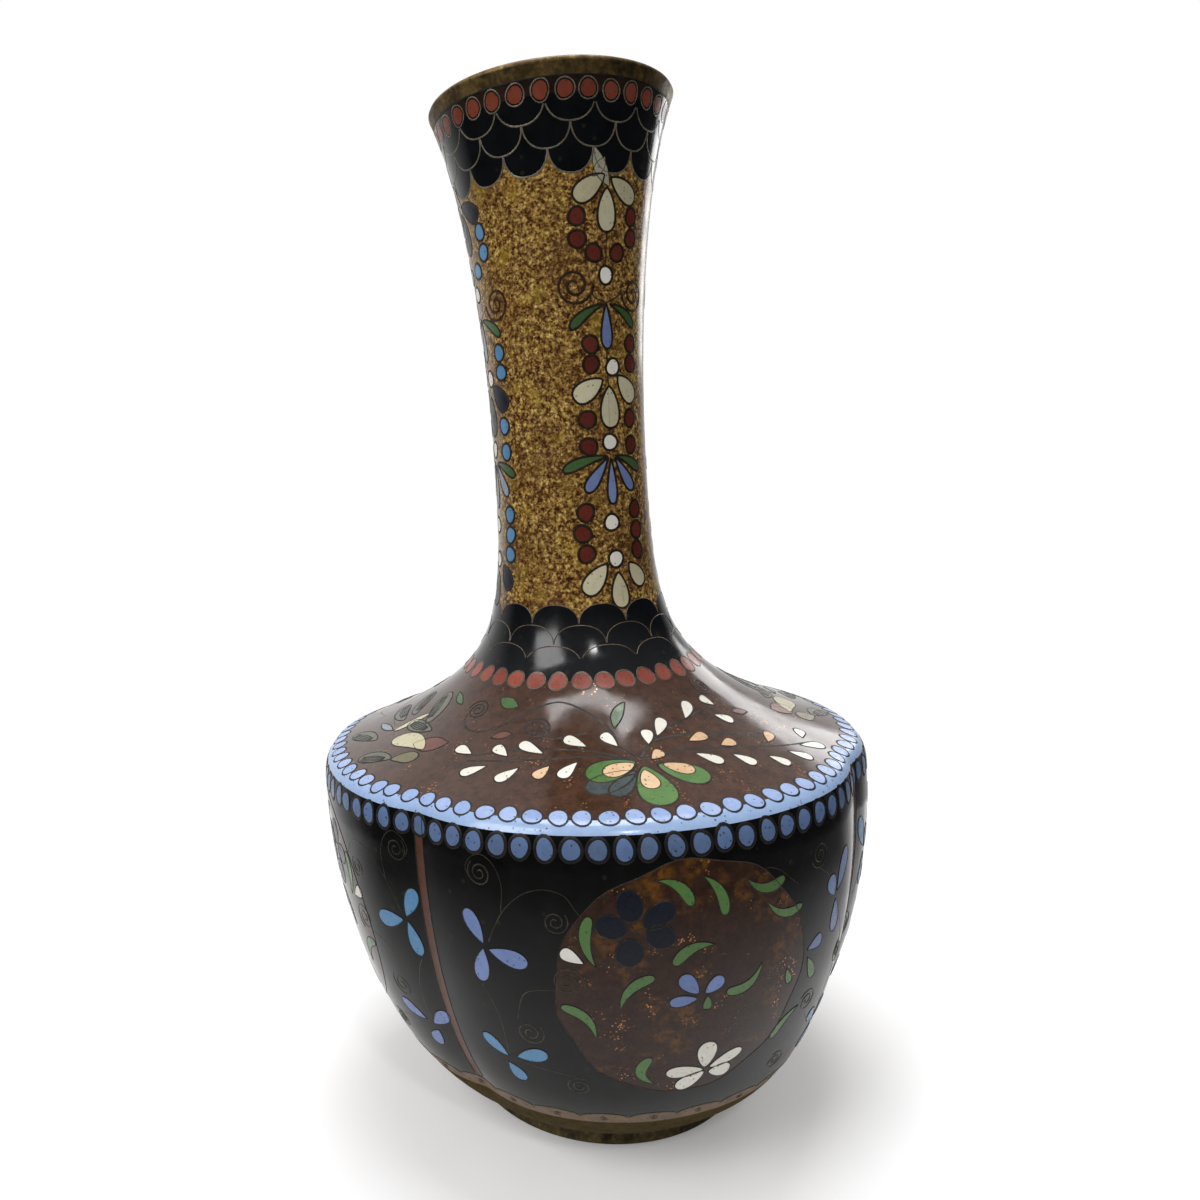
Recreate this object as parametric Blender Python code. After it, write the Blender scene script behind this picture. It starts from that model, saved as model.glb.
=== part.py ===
"""Long-necked cloisonne vase with a four-lobed body, built in its real layers.

Copper body and neck, brass mouth and foot rings, enamel fields and wires on the
outside and counter enamel on the inside. Metres, +Z up, origin at the centre of
the foot on the ground. The front lobe faces -Y.
"""
import math
import bpy
import bmesh
from mathutils import Matrix, Vector

for old in list(bpy.data.objects):
    bpy.data.objects.remove(old, do_unlink=True)

mm = 0.001

# overall outline: heights from the ground, radii from the axis
totalHeight = 152.0 * mm
mouthRadius = 19.8 * mm
waistHeight = 93.0 * mm
waistRadius = 12.05 * mm
edgeHeight = 48.9 * mm           # where the belly meets the rounded edge
edgeRadius = 41.6 * mm
edgeRise = 3.7 * mm              # the rounded edge, up to where the shoulder starts
edgeInset = 2.2 * mm
footHeight = 3.2 * mm
footRadius = 21.1 * mm
footLip = 0.5 * mm               # how far the belly starts outside the foot

# fullness of the curves between those points
bellyPower = 0.61
edgeLift = 2.1 * mm
edgeReach = 1.5 * mm
shoulderSlope = math.radians(18.8)
shoulderReach = 27.4 * mm
neckReach = 25.6 * mm
flareReach = 24.9 * mm
lipReach = 11.0 * mm
lipSlope = math.radians(65.0)

# four soft grooves between the lobes
lobeCount = 4
lobeSpread = math.radians(4.0)      # the front and back lobes are this much wider on each side
grooveDepth = 1.8 * mm
grooveSharpness = 2.8
grooveFadeFoot = 9.0 * mm
grooveFadeShoulder = 10.5 * mm

# wall, from the outside in
enamelThick = 1.0 * mm
copperThick = 0.8 * mm
liningThick = 0.5 * mm
fitGap = 0.2 * mm

# widths of the enamel bands, measured as heights
footBorderRise = 8.4 * mm
lowerBeadRise = 2.4 * mm
edgeBandRise = 0.85 * mm
upperBeadRise = 0.95 * mm
rootHeight = 63.0 * mm           # where the shoulder field ends and the neck root begins
rootBeadRise = 2.2 * mm
rootScaleRise = 7.4 * mm
mouthRingRise = 3.0 * mm
mouthBeadRise = 3.0 * mm
mouthScaleRise = 8.4 * mm

wireWidth = 0.3 * mm
stripeWidth = 1.6 * mm
roundelRadius = 16.4 * mm
roundelHeight = 31.5 * mm
neckJointRise = 1.4 * mm         # joint between copper neck and body, above the root
spigotLength = 3.0 * mm
spigotGap = 0.35 * mm
spigotWall = 0.5 * mm
footWall = 2.1 * mm
footWaist = 0.35 * mm
footChamfer = 0.3 * mm
lipRound = 0.8 * mm
baseRecess = 3.3 * mm            # depth of the base enamel inside the foot ring

bodySegments = 40
neckSegments = 32
curveSamples = 60
bellyTurn = 5.0 * mm             # the belly turns most in this height above the foot
rowSpacings = [d * mm for d in (3.0, 9.5, 2.2, 5.6, 3.8, 9.0, 15.0, 5.0)]
rowRoom = 0.6 * mm               # a shared row closer than this to an end is left out

# places that follow from the sizes above
bellyStartRadius = footRadius + footLip
shoulderTopHeight = edgeHeight + edgeRise
shoulderTopRadius = edgeRadius - edgeInset
footBorderTop = footHeight + footBorderRise
panelTop = edgeHeight
lowerBeadTop = panelTop + lowerBeadRise
edgeBandTop = lowerBeadTop + edgeBandRise
upperBeadTop = edgeBandTop + upperBeadRise
rootBeadTop = rootHeight + rootBeadRise
rootScaleTop = rootBeadTop + rootScaleRise
neckJointHeight = rootHeight + neckJointRise
mouthBeadTop = totalHeight - mouthRingRise
mouthScaleTop = mouthBeadTop - mouthBeadRise
neckFieldTop = mouthScaleTop - mouthScaleRise


def bezier(start, leave, arrive, end, count):
    points = []
    for i in range(count + 1):
        t = i / count
        u = 1.0 - t
        points.append(start * u**3 + leave * 3 * u * u * t + arrive * 3 * u * t * t + end * t**3)
    return points


def makeOutline():
    """Outer face of the enamel, from the foot to the lip, as (radius, height)."""
    points = []
    for i in range(curveSamples + 1):
        u = (i / curveSamples) ** 2
        rise = (1.0 - (1.0 - u) ** 2) ** bellyPower
        radius = bellyStartRadius + (edgeRadius - bellyStartRadius) * rise
        points.append(Vector((radius, footHeight + (edgeHeight - footHeight) * u)))
    edge = Vector((edgeRadius, edgeHeight))
    shoulder = Vector((shoulderTopRadius, shoulderTopHeight))
    waist = Vector((waistRadius, waistHeight))
    mouth = Vector((mouthRadius, totalHeight))
    inward = Vector((-math.cos(shoulderSlope), math.sin(shoulderSlope)))
    lip = Vector((math.cos(lipSlope), math.sin(lipSlope)))
    up = Vector((0.0, 1.0))
    points += bezier(edge, edge + up * edgeLift, shoulder - inward * edgeReach, shoulder, curveSamples)[1:]
    points += bezier(shoulder, shoulder + inward * shoulderReach, waist - up * neckReach, waist, curveSamples)[1:]
    points += bezier(waist, waist + up * flareReach, mouth - lip * lipReach, mouth, curveSamples)[1:]
    return points


outline = makeOutline()
along = [0.0]
for i in range(1, len(outline)):
    along.append(along[-1] + (outline[i] - outline[i - 1]).length)


def spotAtHeight(height):
    """Distance along the outline at a height."""
    for i in range(1, len(outline)):
        if outline[i].y >= height:
            low, high = outline[i - 1].y, outline[i].y
            return along[i - 1] + (along[i] - along[i - 1]) * (height - low) / (high - low)
    return along[-1]


def outlineAt(spot, depth=0.0):
    """Point on the outline, moved inward by depth, with the height of its outer face."""
    i = 1
    while i < len(along) - 1 and along[i] < spot:
        i += 1
    t = (spot - along[i - 1]) / (along[i] - along[i - 1])
    point = outline[i - 1].lerp(outline[i], t)
    before = outline[max(i - 2, 0)]
    after = outline[min(i + 1, len(outline) - 1)]
    run = (after - before).normalized()
    inward = Vector((-run.y, run.x))
    return point.x + inward.x * depth, point.y + inward.y * depth, point.y


def smooth(t):
    t = min(max(t, 0.0), 1.0)
    return t * t * (3.0 - 2.0 * t)


def grooveShift(angle, height):
    """How far the wall is drawn in at this angle and height."""
    fade = smooth((height - footHeight) / grooveFadeFoot)
    fade *= 1.0 - smooth((height - edgeHeight) / grooveFadeShoulder)
    bulge = abs(math.cos(angle * lobeCount / 2.0))
    return grooveDepth * fade * (1.0 - bulge) ** grooveSharpness


def place(radius, height, outerHeight, angle):
    """Angle 0 is the front, -Y, and grows towards +X."""
    r = radius - grooveShift(angle, outerHeight)
    turn = angle + lobeSpread * math.sin(2.0 * angle)
    return Vector((r * math.sin(turn), -r * math.cos(turn), height))


def makeMaterial(name, color, roughness, metallic=0.0):
    material = bpy.data.materials.new(name)
    material.use_nodes = True
    shader = material.node_tree.nodes["Principled BSDF"]
    shader.inputs["Base Color"].default_value = (*color, 1.0)
    shader.inputs["Roughness"].default_value = roughness
    shader.inputs["Metallic"].default_value = metallic
    return material


def finish(name, bm, material):
    bmesh.ops.recalc_face_normals(bm, faces=bm.faces)
    mesh = bpy.data.meshes.new(name)
    bm.to_mesh(mesh)
    bm.free()
    mesh.materials.append(material)
    mesh.shade_smooth()
    mesh.set_sharp_from_angle(angle=math.radians(40.0))
    thing = bpy.data.objects.new(name, mesh)
    bpy.context.scene.collection.objects.link(thing)
    return thing


def turned(name, section, material, closed=True, segments=bodySegments):
    """Solid from a section of (radius, height, outer height) points.

    An open section ends in two flat discs, such as the inside and the outside
    of a closed bottom.
    """
    bm = bmesh.new()
    rings = []
    for radius, height, outerHeight in section:
        rings.append([bm.verts.new(place(radius, height, outerHeight, 2.0 * math.pi * k / segments))
                      for k in range(segments)])
    pairs = list(zip(rings, rings[1:]))
    if closed:
        pairs.append((rings[-1], rings[0]))
    else:
        bm.faces.new(rings[0])
        bm.faces.new(rings[-1])
    for one, other in pairs:
        for k in range(segments):
            n = (k + 1) % segments
            bm.faces.new((one[k], one[n], other[n], other[k]))
    return finish(name, bm, material)


def makeStations():
    """Shared rows up the wall, closer together where it curves, so that the layers stay parallel."""
    breaks = (footHeight, footHeight + bellyTurn, edgeHeight, shoulderTopHeight, rootHeight,
              rootScaleTop, waistHeight, neckFieldTop, totalHeight)
    rows = []
    for low, high, spacing in zip(breaks, breaks[1:], rowSpacings):
        a, b = spotAtHeight(low), spotAtHeight(high)
        count = math.ceil((b - a) / spacing)
        rows += [a + (b - a) * i / count for i in range(count)]
    return rows


stations = makeStations()


def wallLine(low, high, depth):
    """Points up the wall at one depth: the two ends and the shared rows between them."""
    a, b = spotAtHeight(low), spotAtHeight(high)
    rows = [a] + [spot for spot in stations if a + rowRoom < spot < b - rowRoom] + [b]
    return [outlineAt(spot, depth) for spot in rows]


def band(name, low, high, material):
    """One ring of enamel, or one wire, between two heights."""
    section = wallLine(low, high, 0.0) + wallLine(low, high, enamelThick)[::-1]
    segments = neckSegments if low >= neckJointHeight else bodySegments
    return turned(name, section, material, segments=segments)


def arcShift(height, distance):
    """Height reached by going a distance along the wall."""
    return outlineAt(spotAtHeight(height) + distance)[2]


def innerTop(height, depth):
    """Outer height whose point at this depth in the wall lies at the given height."""
    low, high = waistHeight, totalHeight
    for step in range(40):
        middle = (low + high) / 2.0
        if outlineAt(spotAtHeight(middle), depth)[1] < height:
            low = middle
        else:
            high = middle
    return low


def patch(name, centre, low, high, columns, halfWidth, material):
    """Piece of enamel round one lobe or groove; halfWidth gives its half angle at a radius."""
    bm = bmesh.new()
    sides = []
    for depth in (0.0, enamelThick):
        rows = []
        for radius, height, outerHeight in wallLine(low, high, depth):
            outerRadius = outlineAt(spotAtHeight(outerHeight))[0]
            limit = halfWidth(outerRadius)
            rows.append([bm.verts.new(place(radius, height, outerHeight, centre + limit * t)) for t in columns])
        sides.append(rows)
    outer, inner = sides
    count = len(outer) - 1
    wide = len(columns) - 1
    for i in range(count):
        for j in range(wide):
            bm.faces.new((outer[i][j], outer[i][j + 1], outer[i + 1][j + 1], outer[i + 1][j]))
            bm.faces.new((inner[i][j + 1], inner[i][j], inner[i + 1][j], inner[i + 1][j + 1]))
        bm.faces.new((inner[i][0], outer[i][0], outer[i + 1][0], inner[i + 1][0]))
        bm.faces.new((outer[i][wide], inner[i][wide], inner[i + 1][wide], outer[i + 1][wide]))
    for j in range(wide):
        bm.faces.new((inner[0][j], inner[0][j + 1], outer[0][j + 1], outer[0][j]))
        bm.faces.new((outer[count][j], outer[count][j + 1], inner[count][j + 1], inner[count][j]))
    return finish(name, bm, material)


def roundelCutter(name, centre, radius):
    """Helper: a plug that points out through the middle of one lobe."""
    outward = Vector((math.sin(centre), -math.cos(centre), 0.0))
    reach = edgeRadius
    bm = bmesh.new()
    bmesh.ops.create_cone(bm, cap_ends=True, segments=36, radius1=radius, radius2=radius, depth=reach)
    turn = outward.to_track_quat("Z", "Y").to_matrix().to_4x4()
    middle = outward * (reach * 0.5 + edgeRadius * 0.3) + Vector((0.0, 0.0, roundelHeight))
    bmesh.ops.transform(bm, matrix=Matrix.Translation(middle) @ turn, verts=bm.verts)
    cutter = finish(name, bm, copper)
    cutter.hide_render = True
    cutter.display_type = "WIRE"
    return cutter


def cutWith(thing, cutter, operation):
    change = thing.modifiers.new("roundel", "BOOLEAN")
    change.object = cutter
    change.operation = operation
    change.solver = "EXACT"


copper = makeMaterial("copper", (0.42, 0.17, 0.08), 0.45, 1.0)
brass = makeMaterial("brass", (0.20, 0.13, 0.06), 0.48, 1.0)
wire = makeMaterial("cloison_wire", (0.32, 0.22, 0.11), 0.42, 1.0)
goldstone = makeMaterial("tea_gold_enamel", (0.20, 0.10, 0.03), 0.28)
brownStone = makeMaterial("brown_sparkle_enamel", (0.07, 0.028, 0.014), 0.22)
blackEnamel = makeMaterial("black_enamel", (0.006, 0.008, 0.007), 0.16)
redEnamel = makeMaterial("brick_red_enamel", (0.22, 0.05, 0.025), 0.3)
blueEnamel = makeMaterial("light_blue_enamel", (0.17, 0.27, 0.50), 0.3)
tanEnamel = makeMaterial("tan_enamel", (0.23, 0.15, 0.08), 0.35)
stripeEnamel = makeMaterial("rust_enamel", (0.14, 0.05, 0.022), 0.35)
counterEnamel = makeMaterial("counter_enamel", (0.03, 0.045, 0.05), 0.35)

halfSpace = fitGap / 2.0
copperOut = enamelThick + fitGap
copperIn = copperOut + copperThick
liningOut = copperIn + fitGap
liningIn = liningOut + liningThick

# copper body: a closed flat bottom, the belly, the edge and the shoulder up to the neck joint
bodyTop = arcShift(neckJointHeight, -halfSpace)
bodySection = wallLine(footHeight, bodyTop, copperOut) + wallLine(footHeight, bodyTop, copperIn)[::-1]
turned("copper_body", bodySection, copper, closed=False)

# copper neck: its lower end is a spigot that stands inside the collar of the body
neckLow = arcShift(neckJointHeight, halfSpace)
spigotLow = arcShift(neckJointHeight, -spigotLength)
spigotHigh = arcShift(neckLow, spigotLength / 2.0)
ringLow = mouthBeadTop + wireWidth + fitGap
neckTop = ringLow - fitGap
spigotOut = copperIn + spigotGap
spigotIn = spigotOut + spigotWall
neckSection = wallLine(spigotLow, neckLow, spigotOut)
neckSection += wallLine(neckLow, neckTop, copperOut)
neckSection += wallLine(spigotHigh, neckTop, copperIn)[::-1]
neckSection += wallLine(spigotLow, spigotHigh, spigotIn)[::-1]
turned("copper_neck", neckSection, copper, segments=neckSegments)

# counter enamel inside the neck and the body
neckLiningLow = arcShift(spigotHigh, fitGap)
neckLining = wallLine(neckLiningLow, neckTop, liningOut) + wallLine(neckLiningLow, neckTop, liningIn)[::-1]
turned("neck_lining", neckLining, counterEnamel, segments=neckSegments)
liningTop = arcShift(spigotLow, -fitGap)
bodyLining = wallLine(footHeight, liningTop, liningOut) + wallLine(footHeight, liningTop, liningIn)[::-1]
turned("body_lining", bodyLining, counterEnamel, closed=False)

# brass foot ring, soldered under the copper bottom
seatRadius = bellyStartRadius - fitGap
seatHeight = footHeight + enamelThick
footInner = footRadius - footWall
footSection = [(footInner, 0.0), (footRadius - footChamfer, 0.0), (footRadius, footChamfer),
               (footRadius - footWaist, footHeight * 0.45), (seatRadius, footHeight * 0.85),
               (seatRadius, seatHeight), (footInner, seatHeight)]
turned("foot_ring", [(r, z, 0.0) for r, z in footSection], brass)

# counter enamel under the bottom, inside the foot ring
baseRadius = footInner - fitGap
turned("base_enamel", [(baseRadius, baseRecess, 0.0), (baseRadius, seatHeight, 0.0)], counterEnamel, closed=False)

# brass mouth ring: it caps the ends of the wall and its lip is rounded over
lipOuter = wallLine(ringLow, arcShift(totalHeight, -lipRound), 0.0)
lipInner = wallLine(ringLow, innerTop(totalHeight - lipRound, liningIn), liningIn)
lipReachIn = lipOuter[-1][0] - lipInner[-1][0]
crown = [(lipOuter[-1][0] - lipReachIn * t, totalHeight - lipRound * drop, totalHeight)
         for t, drop in ((0.06, 0.35), (0.25, 0.0), (0.7, 0.0), (0.93, 0.4))]
turned("mouth_ring", lipOuter + crown + lipInner[::-1], brass, segments=neckSegments)

# enamel fields, bottom to top
fields = [
    ("foot_border", footHeight, footBorderTop, tanEnamel),
    ("edge_lower_beads", panelTop, lowerBeadTop, blueEnamel),
    ("edge_band", lowerBeadTop, edgeBandTop, blueEnamel),
    ("edge_upper_beads", edgeBandTop, upperBeadTop, blueEnamel),
    ("shoulder_field", upperBeadTop, rootHeight, brownStone),
    ("root_bead_band", rootHeight, rootBeadTop, redEnamel),
    ("root_scale_band", rootBeadTop, rootScaleTop, blackEnamel),
    ("neck_field", rootScaleTop, neckFieldTop, goldstone),
    ("mouth_scale_band", neckFieldTop, mouthScaleTop, blackEnamel),
    ("mouth_bead_band", mouthScaleTop, mouthBeadTop, redEnamel),
]
wireHeights = {"foot_wire": footBorderTop, "shoulder_wire": rootHeight, "root_wire": rootBeadTop,
               "collar_wire": mouthScaleTop, "mouth_wire": mouthBeadTop}


def edgeOf(height, direction):
    """Where a field stops short of a border, with room for the wire if one runs there."""
    room = halfSpace
    if height in wireHeights.values():
        room = wireWidth / 2.0 + fitGap
    if height == footHeight:
        room = 0.0
    return arcShift(height, direction * room)


for name, low, high, material in fields:
    band(name, edgeOf(low, 1), edgeOf(high, -1), material)
for name, height in wireHeights.items():
    band(name, arcShift(height, -wireWidth / 2.0), arcShift(height, wireWidth / 2.0), wire)

# four dark panels, each with a round medallion let into it, and a stripe down each groove
lobeAngle = 2.0 * math.pi / lobeCount
panelLow = edgeOf(footBorderTop, 1)
panelHigh = edgeOf(panelTop, -1)
panelColumns = [t / 5.0 for t in range(-5, 6)]


def panelHalf(radius):
    return lobeAngle / 2.0 - (stripeWidth / 2.0 + fitGap) / radius


def stripeHalf(radius):
    return stripeWidth / 2.0 / radius


for index, side in enumerate(("front", "right", "back", "left")):
    centre = index * lobeAngle
    panel = patch("panel_" + side, centre, panelLow, panelHigh, panelColumns, panelHalf, blackEnamel)
    cutWith(panel, roundelCutter("hole_cutter_" + side, centre, roundelRadius + fitGap), "DIFFERENCE")
    roundel = patch("roundel_" + side, centre, panelLow, panelHigh, panelColumns, panelHalf, brownStone)
    cutWith(roundel, roundelCutter("roundel_cutter_" + side, centre, roundelRadius), "INTERSECT")
    patch("stripe_" + side, centre + lobeAngle / 2.0, panelLow, panelHigh, [-1.0, 0.0, 1.0],
          stripeHalf, stripeEnamel)
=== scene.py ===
import math
import bpy
import numpy as np
from mathutils import Matrix, Vector


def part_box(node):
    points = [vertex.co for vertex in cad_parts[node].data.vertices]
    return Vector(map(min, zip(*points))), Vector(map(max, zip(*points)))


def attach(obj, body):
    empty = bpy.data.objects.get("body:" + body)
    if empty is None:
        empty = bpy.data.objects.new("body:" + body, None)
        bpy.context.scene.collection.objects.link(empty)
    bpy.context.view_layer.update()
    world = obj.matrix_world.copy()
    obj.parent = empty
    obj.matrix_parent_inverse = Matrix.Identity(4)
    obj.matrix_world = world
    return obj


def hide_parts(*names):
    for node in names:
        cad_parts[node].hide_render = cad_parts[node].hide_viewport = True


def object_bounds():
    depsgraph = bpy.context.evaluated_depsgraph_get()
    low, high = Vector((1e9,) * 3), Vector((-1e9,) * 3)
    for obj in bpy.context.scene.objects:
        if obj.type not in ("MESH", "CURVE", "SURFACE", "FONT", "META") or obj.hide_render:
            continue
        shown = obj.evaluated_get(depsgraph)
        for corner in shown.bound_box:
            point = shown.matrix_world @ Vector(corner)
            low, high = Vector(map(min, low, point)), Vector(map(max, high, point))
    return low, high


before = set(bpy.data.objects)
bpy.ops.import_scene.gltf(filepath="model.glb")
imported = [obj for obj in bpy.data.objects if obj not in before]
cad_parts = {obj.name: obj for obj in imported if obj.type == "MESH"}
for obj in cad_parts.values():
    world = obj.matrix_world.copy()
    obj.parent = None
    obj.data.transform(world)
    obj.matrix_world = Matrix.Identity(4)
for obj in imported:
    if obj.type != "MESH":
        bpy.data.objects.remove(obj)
cadLow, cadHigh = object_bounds()
mm = 0.001
rng = np.random.default_rng(11)

# the outline of the wall: heights from the ground and radii from the axis, in mm
wall = {
    "height": cadHigh.z / mm, "mouthRadius": 19.8, "waistHeight": 93.0, "waistRadius": 12.05,
    "edgeHeight": 48.9, "edgeRadius": cadHigh.x / mm, "edgeRise": 3.7, "edgeInset": 2.2,
    "footHeight": 3.2, "bellyStart": 21.6, "bellyPower": 0.61, "edgeLift": 2.1, "edgeReach": 1.5,
    "shoulderSlope": 18.8, "shoulderReach": 27.4, "neckReach": 25.6,
    "flareReach": 24.9, "lipReach": 11.0, "lipSlope": 65.0,
    "grooveDepth": 1.8, "grooveSharpness": 2.8, "grooveSoftness": 0.05, "grooveFadeFoot": 9.0,
    "grooveFadeShoulder": 10.5, "lobes": 4, "lobeSpread": 4.0,
}
lobeTurn = 360 / wall["lobes"]


def bezier(start, leave, arrive, end, count=240):
    t = np.linspace(0, 1, count + 1)[:, None]
    u = 1 - t
    return u**3 * start + 3 * u * u * t * leave + 3 * u * t * t * arrive + t**3 * end


def makeOutline():
    w = wall
    u = np.linspace(0, 1, 241) ** 2
    reach, rise = w["edgeRadius"] - w["bellyStart"], w["edgeHeight"] - w["footHeight"]
    belly = np.stack([w["bellyStart"] + reach * (1 - (1 - u) ** 2) ** w["bellyPower"],
                      w["footHeight"] + rise * u], 1)
    edge = np.array([w["edgeRadius"], w["edgeHeight"]])
    shoulder = edge + np.array([-w["edgeInset"], w["edgeRise"]])
    waist = np.array([w["waistRadius"], w["waistHeight"]])
    mouth = np.array([w["mouthRadius"], w["height"]])
    slope, lip = math.radians(w["shoulderSlope"]), math.radians(w["lipSlope"])
    inward = np.array([-math.cos(slope), math.sin(slope)])
    outward = np.array([math.cos(lip), math.sin(lip)])
    up = np.array([0.0, 1.0])
    parts = [belly,
             bezier(edge, edge + up * w["edgeLift"], shoulder - inward * w["edgeReach"], shoulder)[1:],
             bezier(shoulder, shoulder + inward * w["shoulderReach"], waist - up * w["neckReach"],
                    waist)[1:],
             bezier(waist, waist + up * w["flareReach"], mouth - outward * w["lipReach"], mouth)[1:]]
    return np.vstack(parts)


outline = makeOutline()
along = np.concatenate([[0.0], np.cumsum(np.hypot(*np.diff(outline, axis=0).T))])
slopes = np.gradient(outline, along, axis=0)
slopes /= np.hypot(*slopes.T)[:, None]


def spotAt(height):
    return np.interp(height, outline[:, 1], along)


def radiusAt(spot):
    return np.interp(spot, along, outline[:, 0])


def grooveAt(angle, height):
    w = wall
    fade = np.clip((height - w["footHeight"]) / w["grooveFadeFoot"], 0, 1)
    drop = np.clip((height - w["edgeHeight"]) / w["grooveFadeShoulder"], 0, 1)
    fade = fade * fade * (3 - 2 * fade) * (1 - drop * drop * (3 - 2 * drop))
    even = angle
    for _ in range(5):  # back to evenly spaced lobes
        even = angle - math.radians(w["lobeSpread"]) * np.sin(2 * even)
    bulge = np.sqrt(np.cos(even * w["lobes"] / 2) ** 2 + w["grooveSoftness"] ** 2)
    return w["grooveDepth"] * fade * np.clip(1 - bulge, 0, 1) ** w["grooveSharpness"]


def onWall(angle, spot, depth=0.0):
    angle, spot, depth = np.broadcast_arrays(angle, spot, depth)
    radius = np.interp(spot, along, outline[:, 0])
    height = np.interp(spot, along, outline[:, 1])
    runR, runZ = np.interp(spot, along, slopes[:, 0]), np.interp(spot, along, slopes[:, 1])
    r = radius - runZ * depth - grooveAt(angle, height)
    return np.stack([r * np.sin(angle), -r * np.cos(angle), height + runR * depth], -1) * mm


class Sheet:  # points and faces gathered for one object
    def __init__(self):
        self.points, self.faces, self.tones, self.count = [], [], [], 0

    def add(self, points, faces, tone=0.5):
        points = np.asarray(points, float).reshape(-1, 3)
        self.faces.append(np.asarray(faces, int) + self.count)
        self.points.append(points)
        self.tones.append(np.full(len(points), tone))
        self.count += len(points)


def gridFaces(rows, columns, closedRows=False, closedColumns=False):
    i = np.arange(rows if closedRows else rows - 1)
    j = np.arange(columns if closedColumns else columns - 1)
    i, j = np.meshgrid(i, j, indexing="ij")
    a, b = i * columns, (i + 1) % rows * columns
    c, d = j, (j + 1) % columns
    return np.stack([a + c, a + d, b + d, b + c], -1).reshape(-1, 4)


def circle(count):
    return np.linspace(0, 2 * np.pi, count, endpoint=False)


sheets = {}


def sheet(name):
    if name not in sheets:
        sheets[name] = Sheet()
    return sheets[name]


def makePiece(name, source, material, nodes=()):
    points = np.vstack(source.points)
    mesh = bpy.data.meshes.new(name)
    mesh.from_pydata(points.tolist(), [], [face for block in source.faces for face in block.tolist()])
    tones = mesh.attributes.new("tone", "FLOAT", "POINT")
    tones.data.foreach_set("value", np.concatenate(source.tones))
    mesh.materials.append(material)
    mesh.shade_smooth()
    mesh.set_sharp_from_angle(angle=math.radians(50))
    mesh.update()
    piece = bpy.data.objects.new(name, mesh)
    bpy.context.scene.collection.objects.link(piece)
    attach(piece, "root")
    if nodes:
        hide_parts(*nodes)


# how deep each layer lies below the wall's outer face, in mm
layers = {"ground": 0.06, "cell": 0.036, "petal": 0.026, "inner": 0.016, "slab": 0.3, "wall": 0.84,
          "wireRise": 0.075, "stem": 0.037}


# solid skin between two edges that may follow the angle
def addBand(target, angles, low, high, rows):
    angles = np.asarray(angles, float)
    low, high = np.broadcast_to(low, angles.shape), np.broadcast_to(high, angles.shape)
    rise = low + (high - low) * np.linspace(0, 1, rows + 1)[:, None]
    outer = onWall(angles[None], rise, layers["ground"])
    inner = onWall(angles[None], rise, layers["ground"] + layers["wall"])
    section = np.concatenate([outer, inner[::-1]])
    target.add(section, gridFaces(len(section), len(angles), closedRows=True, closedColumns=True))


# one flat cell let into the wall: its face, its underside and the side round its rim
def addSlab(target, angles, spots, depth, faces, rim, tone):
    n = len(angles)
    face = onWall(angles, spots, depth)
    under = onWall(angles, spots, depth + layers["slab"])
    side = [[rim[i], rim[i - 1], rim[i - 1] + n, rim[i] + n] for i in range(len(rim))]
    target.add(np.concatenate([face, under]), np.concatenate([faces, faces[:, ::-1] + n, np.array(side)]),
               tone)


# flattened wire sunk in the enamel so that only its crown shows
def addWire(target, angles, spots, width, closed=False, sunk=0.0):
    r, rise = width / 2, min(width / 2, layers["wireRise"])
    centre = onWall(angles, spots, rise + sunk)
    out = onWall(angles, spots, rise + sunk - 0.05) - centre
    out /= np.linalg.norm(out, axis=1)[:, None]
    if closed:
        run = np.roll(centre, -1, 0) - np.roll(centre, 1, 0)
    else:
        run = np.gradient(centre, axis=0)
    run /= np.linalg.norm(run, axis=1)[:, None] + 1e-12
    side = np.cross(run, out)
    turn = circle(6) + math.pi / 6
    rings = centre[:, None] + mm * (rise * np.sin(turn)[None, :, None] * out[:, None]
                                    + r * np.cos(turn)[None, :, None] * side[:, None])
    faces = gridFaces(len(centre), 6, closedRows=closed, closedColumns=True)
    start = target.count
    target.add(rings, faces[:, ::-1], float(rng.random()))
    if not closed:
        caps = np.array([[0, 1, 2, 3], [0, 3, 4, 5]]) + start
        target.faces.append(caps)
        target.faces.append(caps[:, ::-1] + (len(centre) - 1) * 6)


# flat points in mm laid on the wall round a place
def local(middleAngle, middleSpot, points):
    spots = middleSpot + points[:, 1]
    return middleAngle + points[:, 0] / radiusAt(middleSpot), spots


def dot(fill, wire, angle, spot, width, height, ringWidth, room=0.0):
    corners = 18
    turn = circle(corners)
    wobble = 1 + 0.05 * np.sin(2 * turn + rng.random() * 6) + 0.03 * np.sin(3 * turn + rng.random() * 6)
    rim = np.stack([np.cos(turn) * wobble * width / 2, np.sin(turn) * wobble * height / 2], 1)
    tone = float(rng.random())
    rings = [rim * share for share in (1.0, 0.72, 0.4)]
    a, s = local(angle, spot, np.concatenate(rings + [np.zeros((1, 2))]))
    n, inside = len(a), corners * 2
    faces = gridFaces(len(rings), corners, closedColumns=True)
    hub = np.array([[inside + (j + 1) % corners, inside + j, n - 1] for j in range(corners)])
    target = sheet(fill)
    start = target.count
    addSlab(target, a, s, layers["cell"], faces, list(range(corners)), tone)
    target.faces.append(hub + start)
    target.faces.append(hub[:, ::-1] + n + start)
    a, s = local(angle, spot, rim * (1 + (0.7 * ringWidth + 2 * room) / width))
    addWire(sheet(wire), a, s, ringWidth, closed=True)


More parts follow.
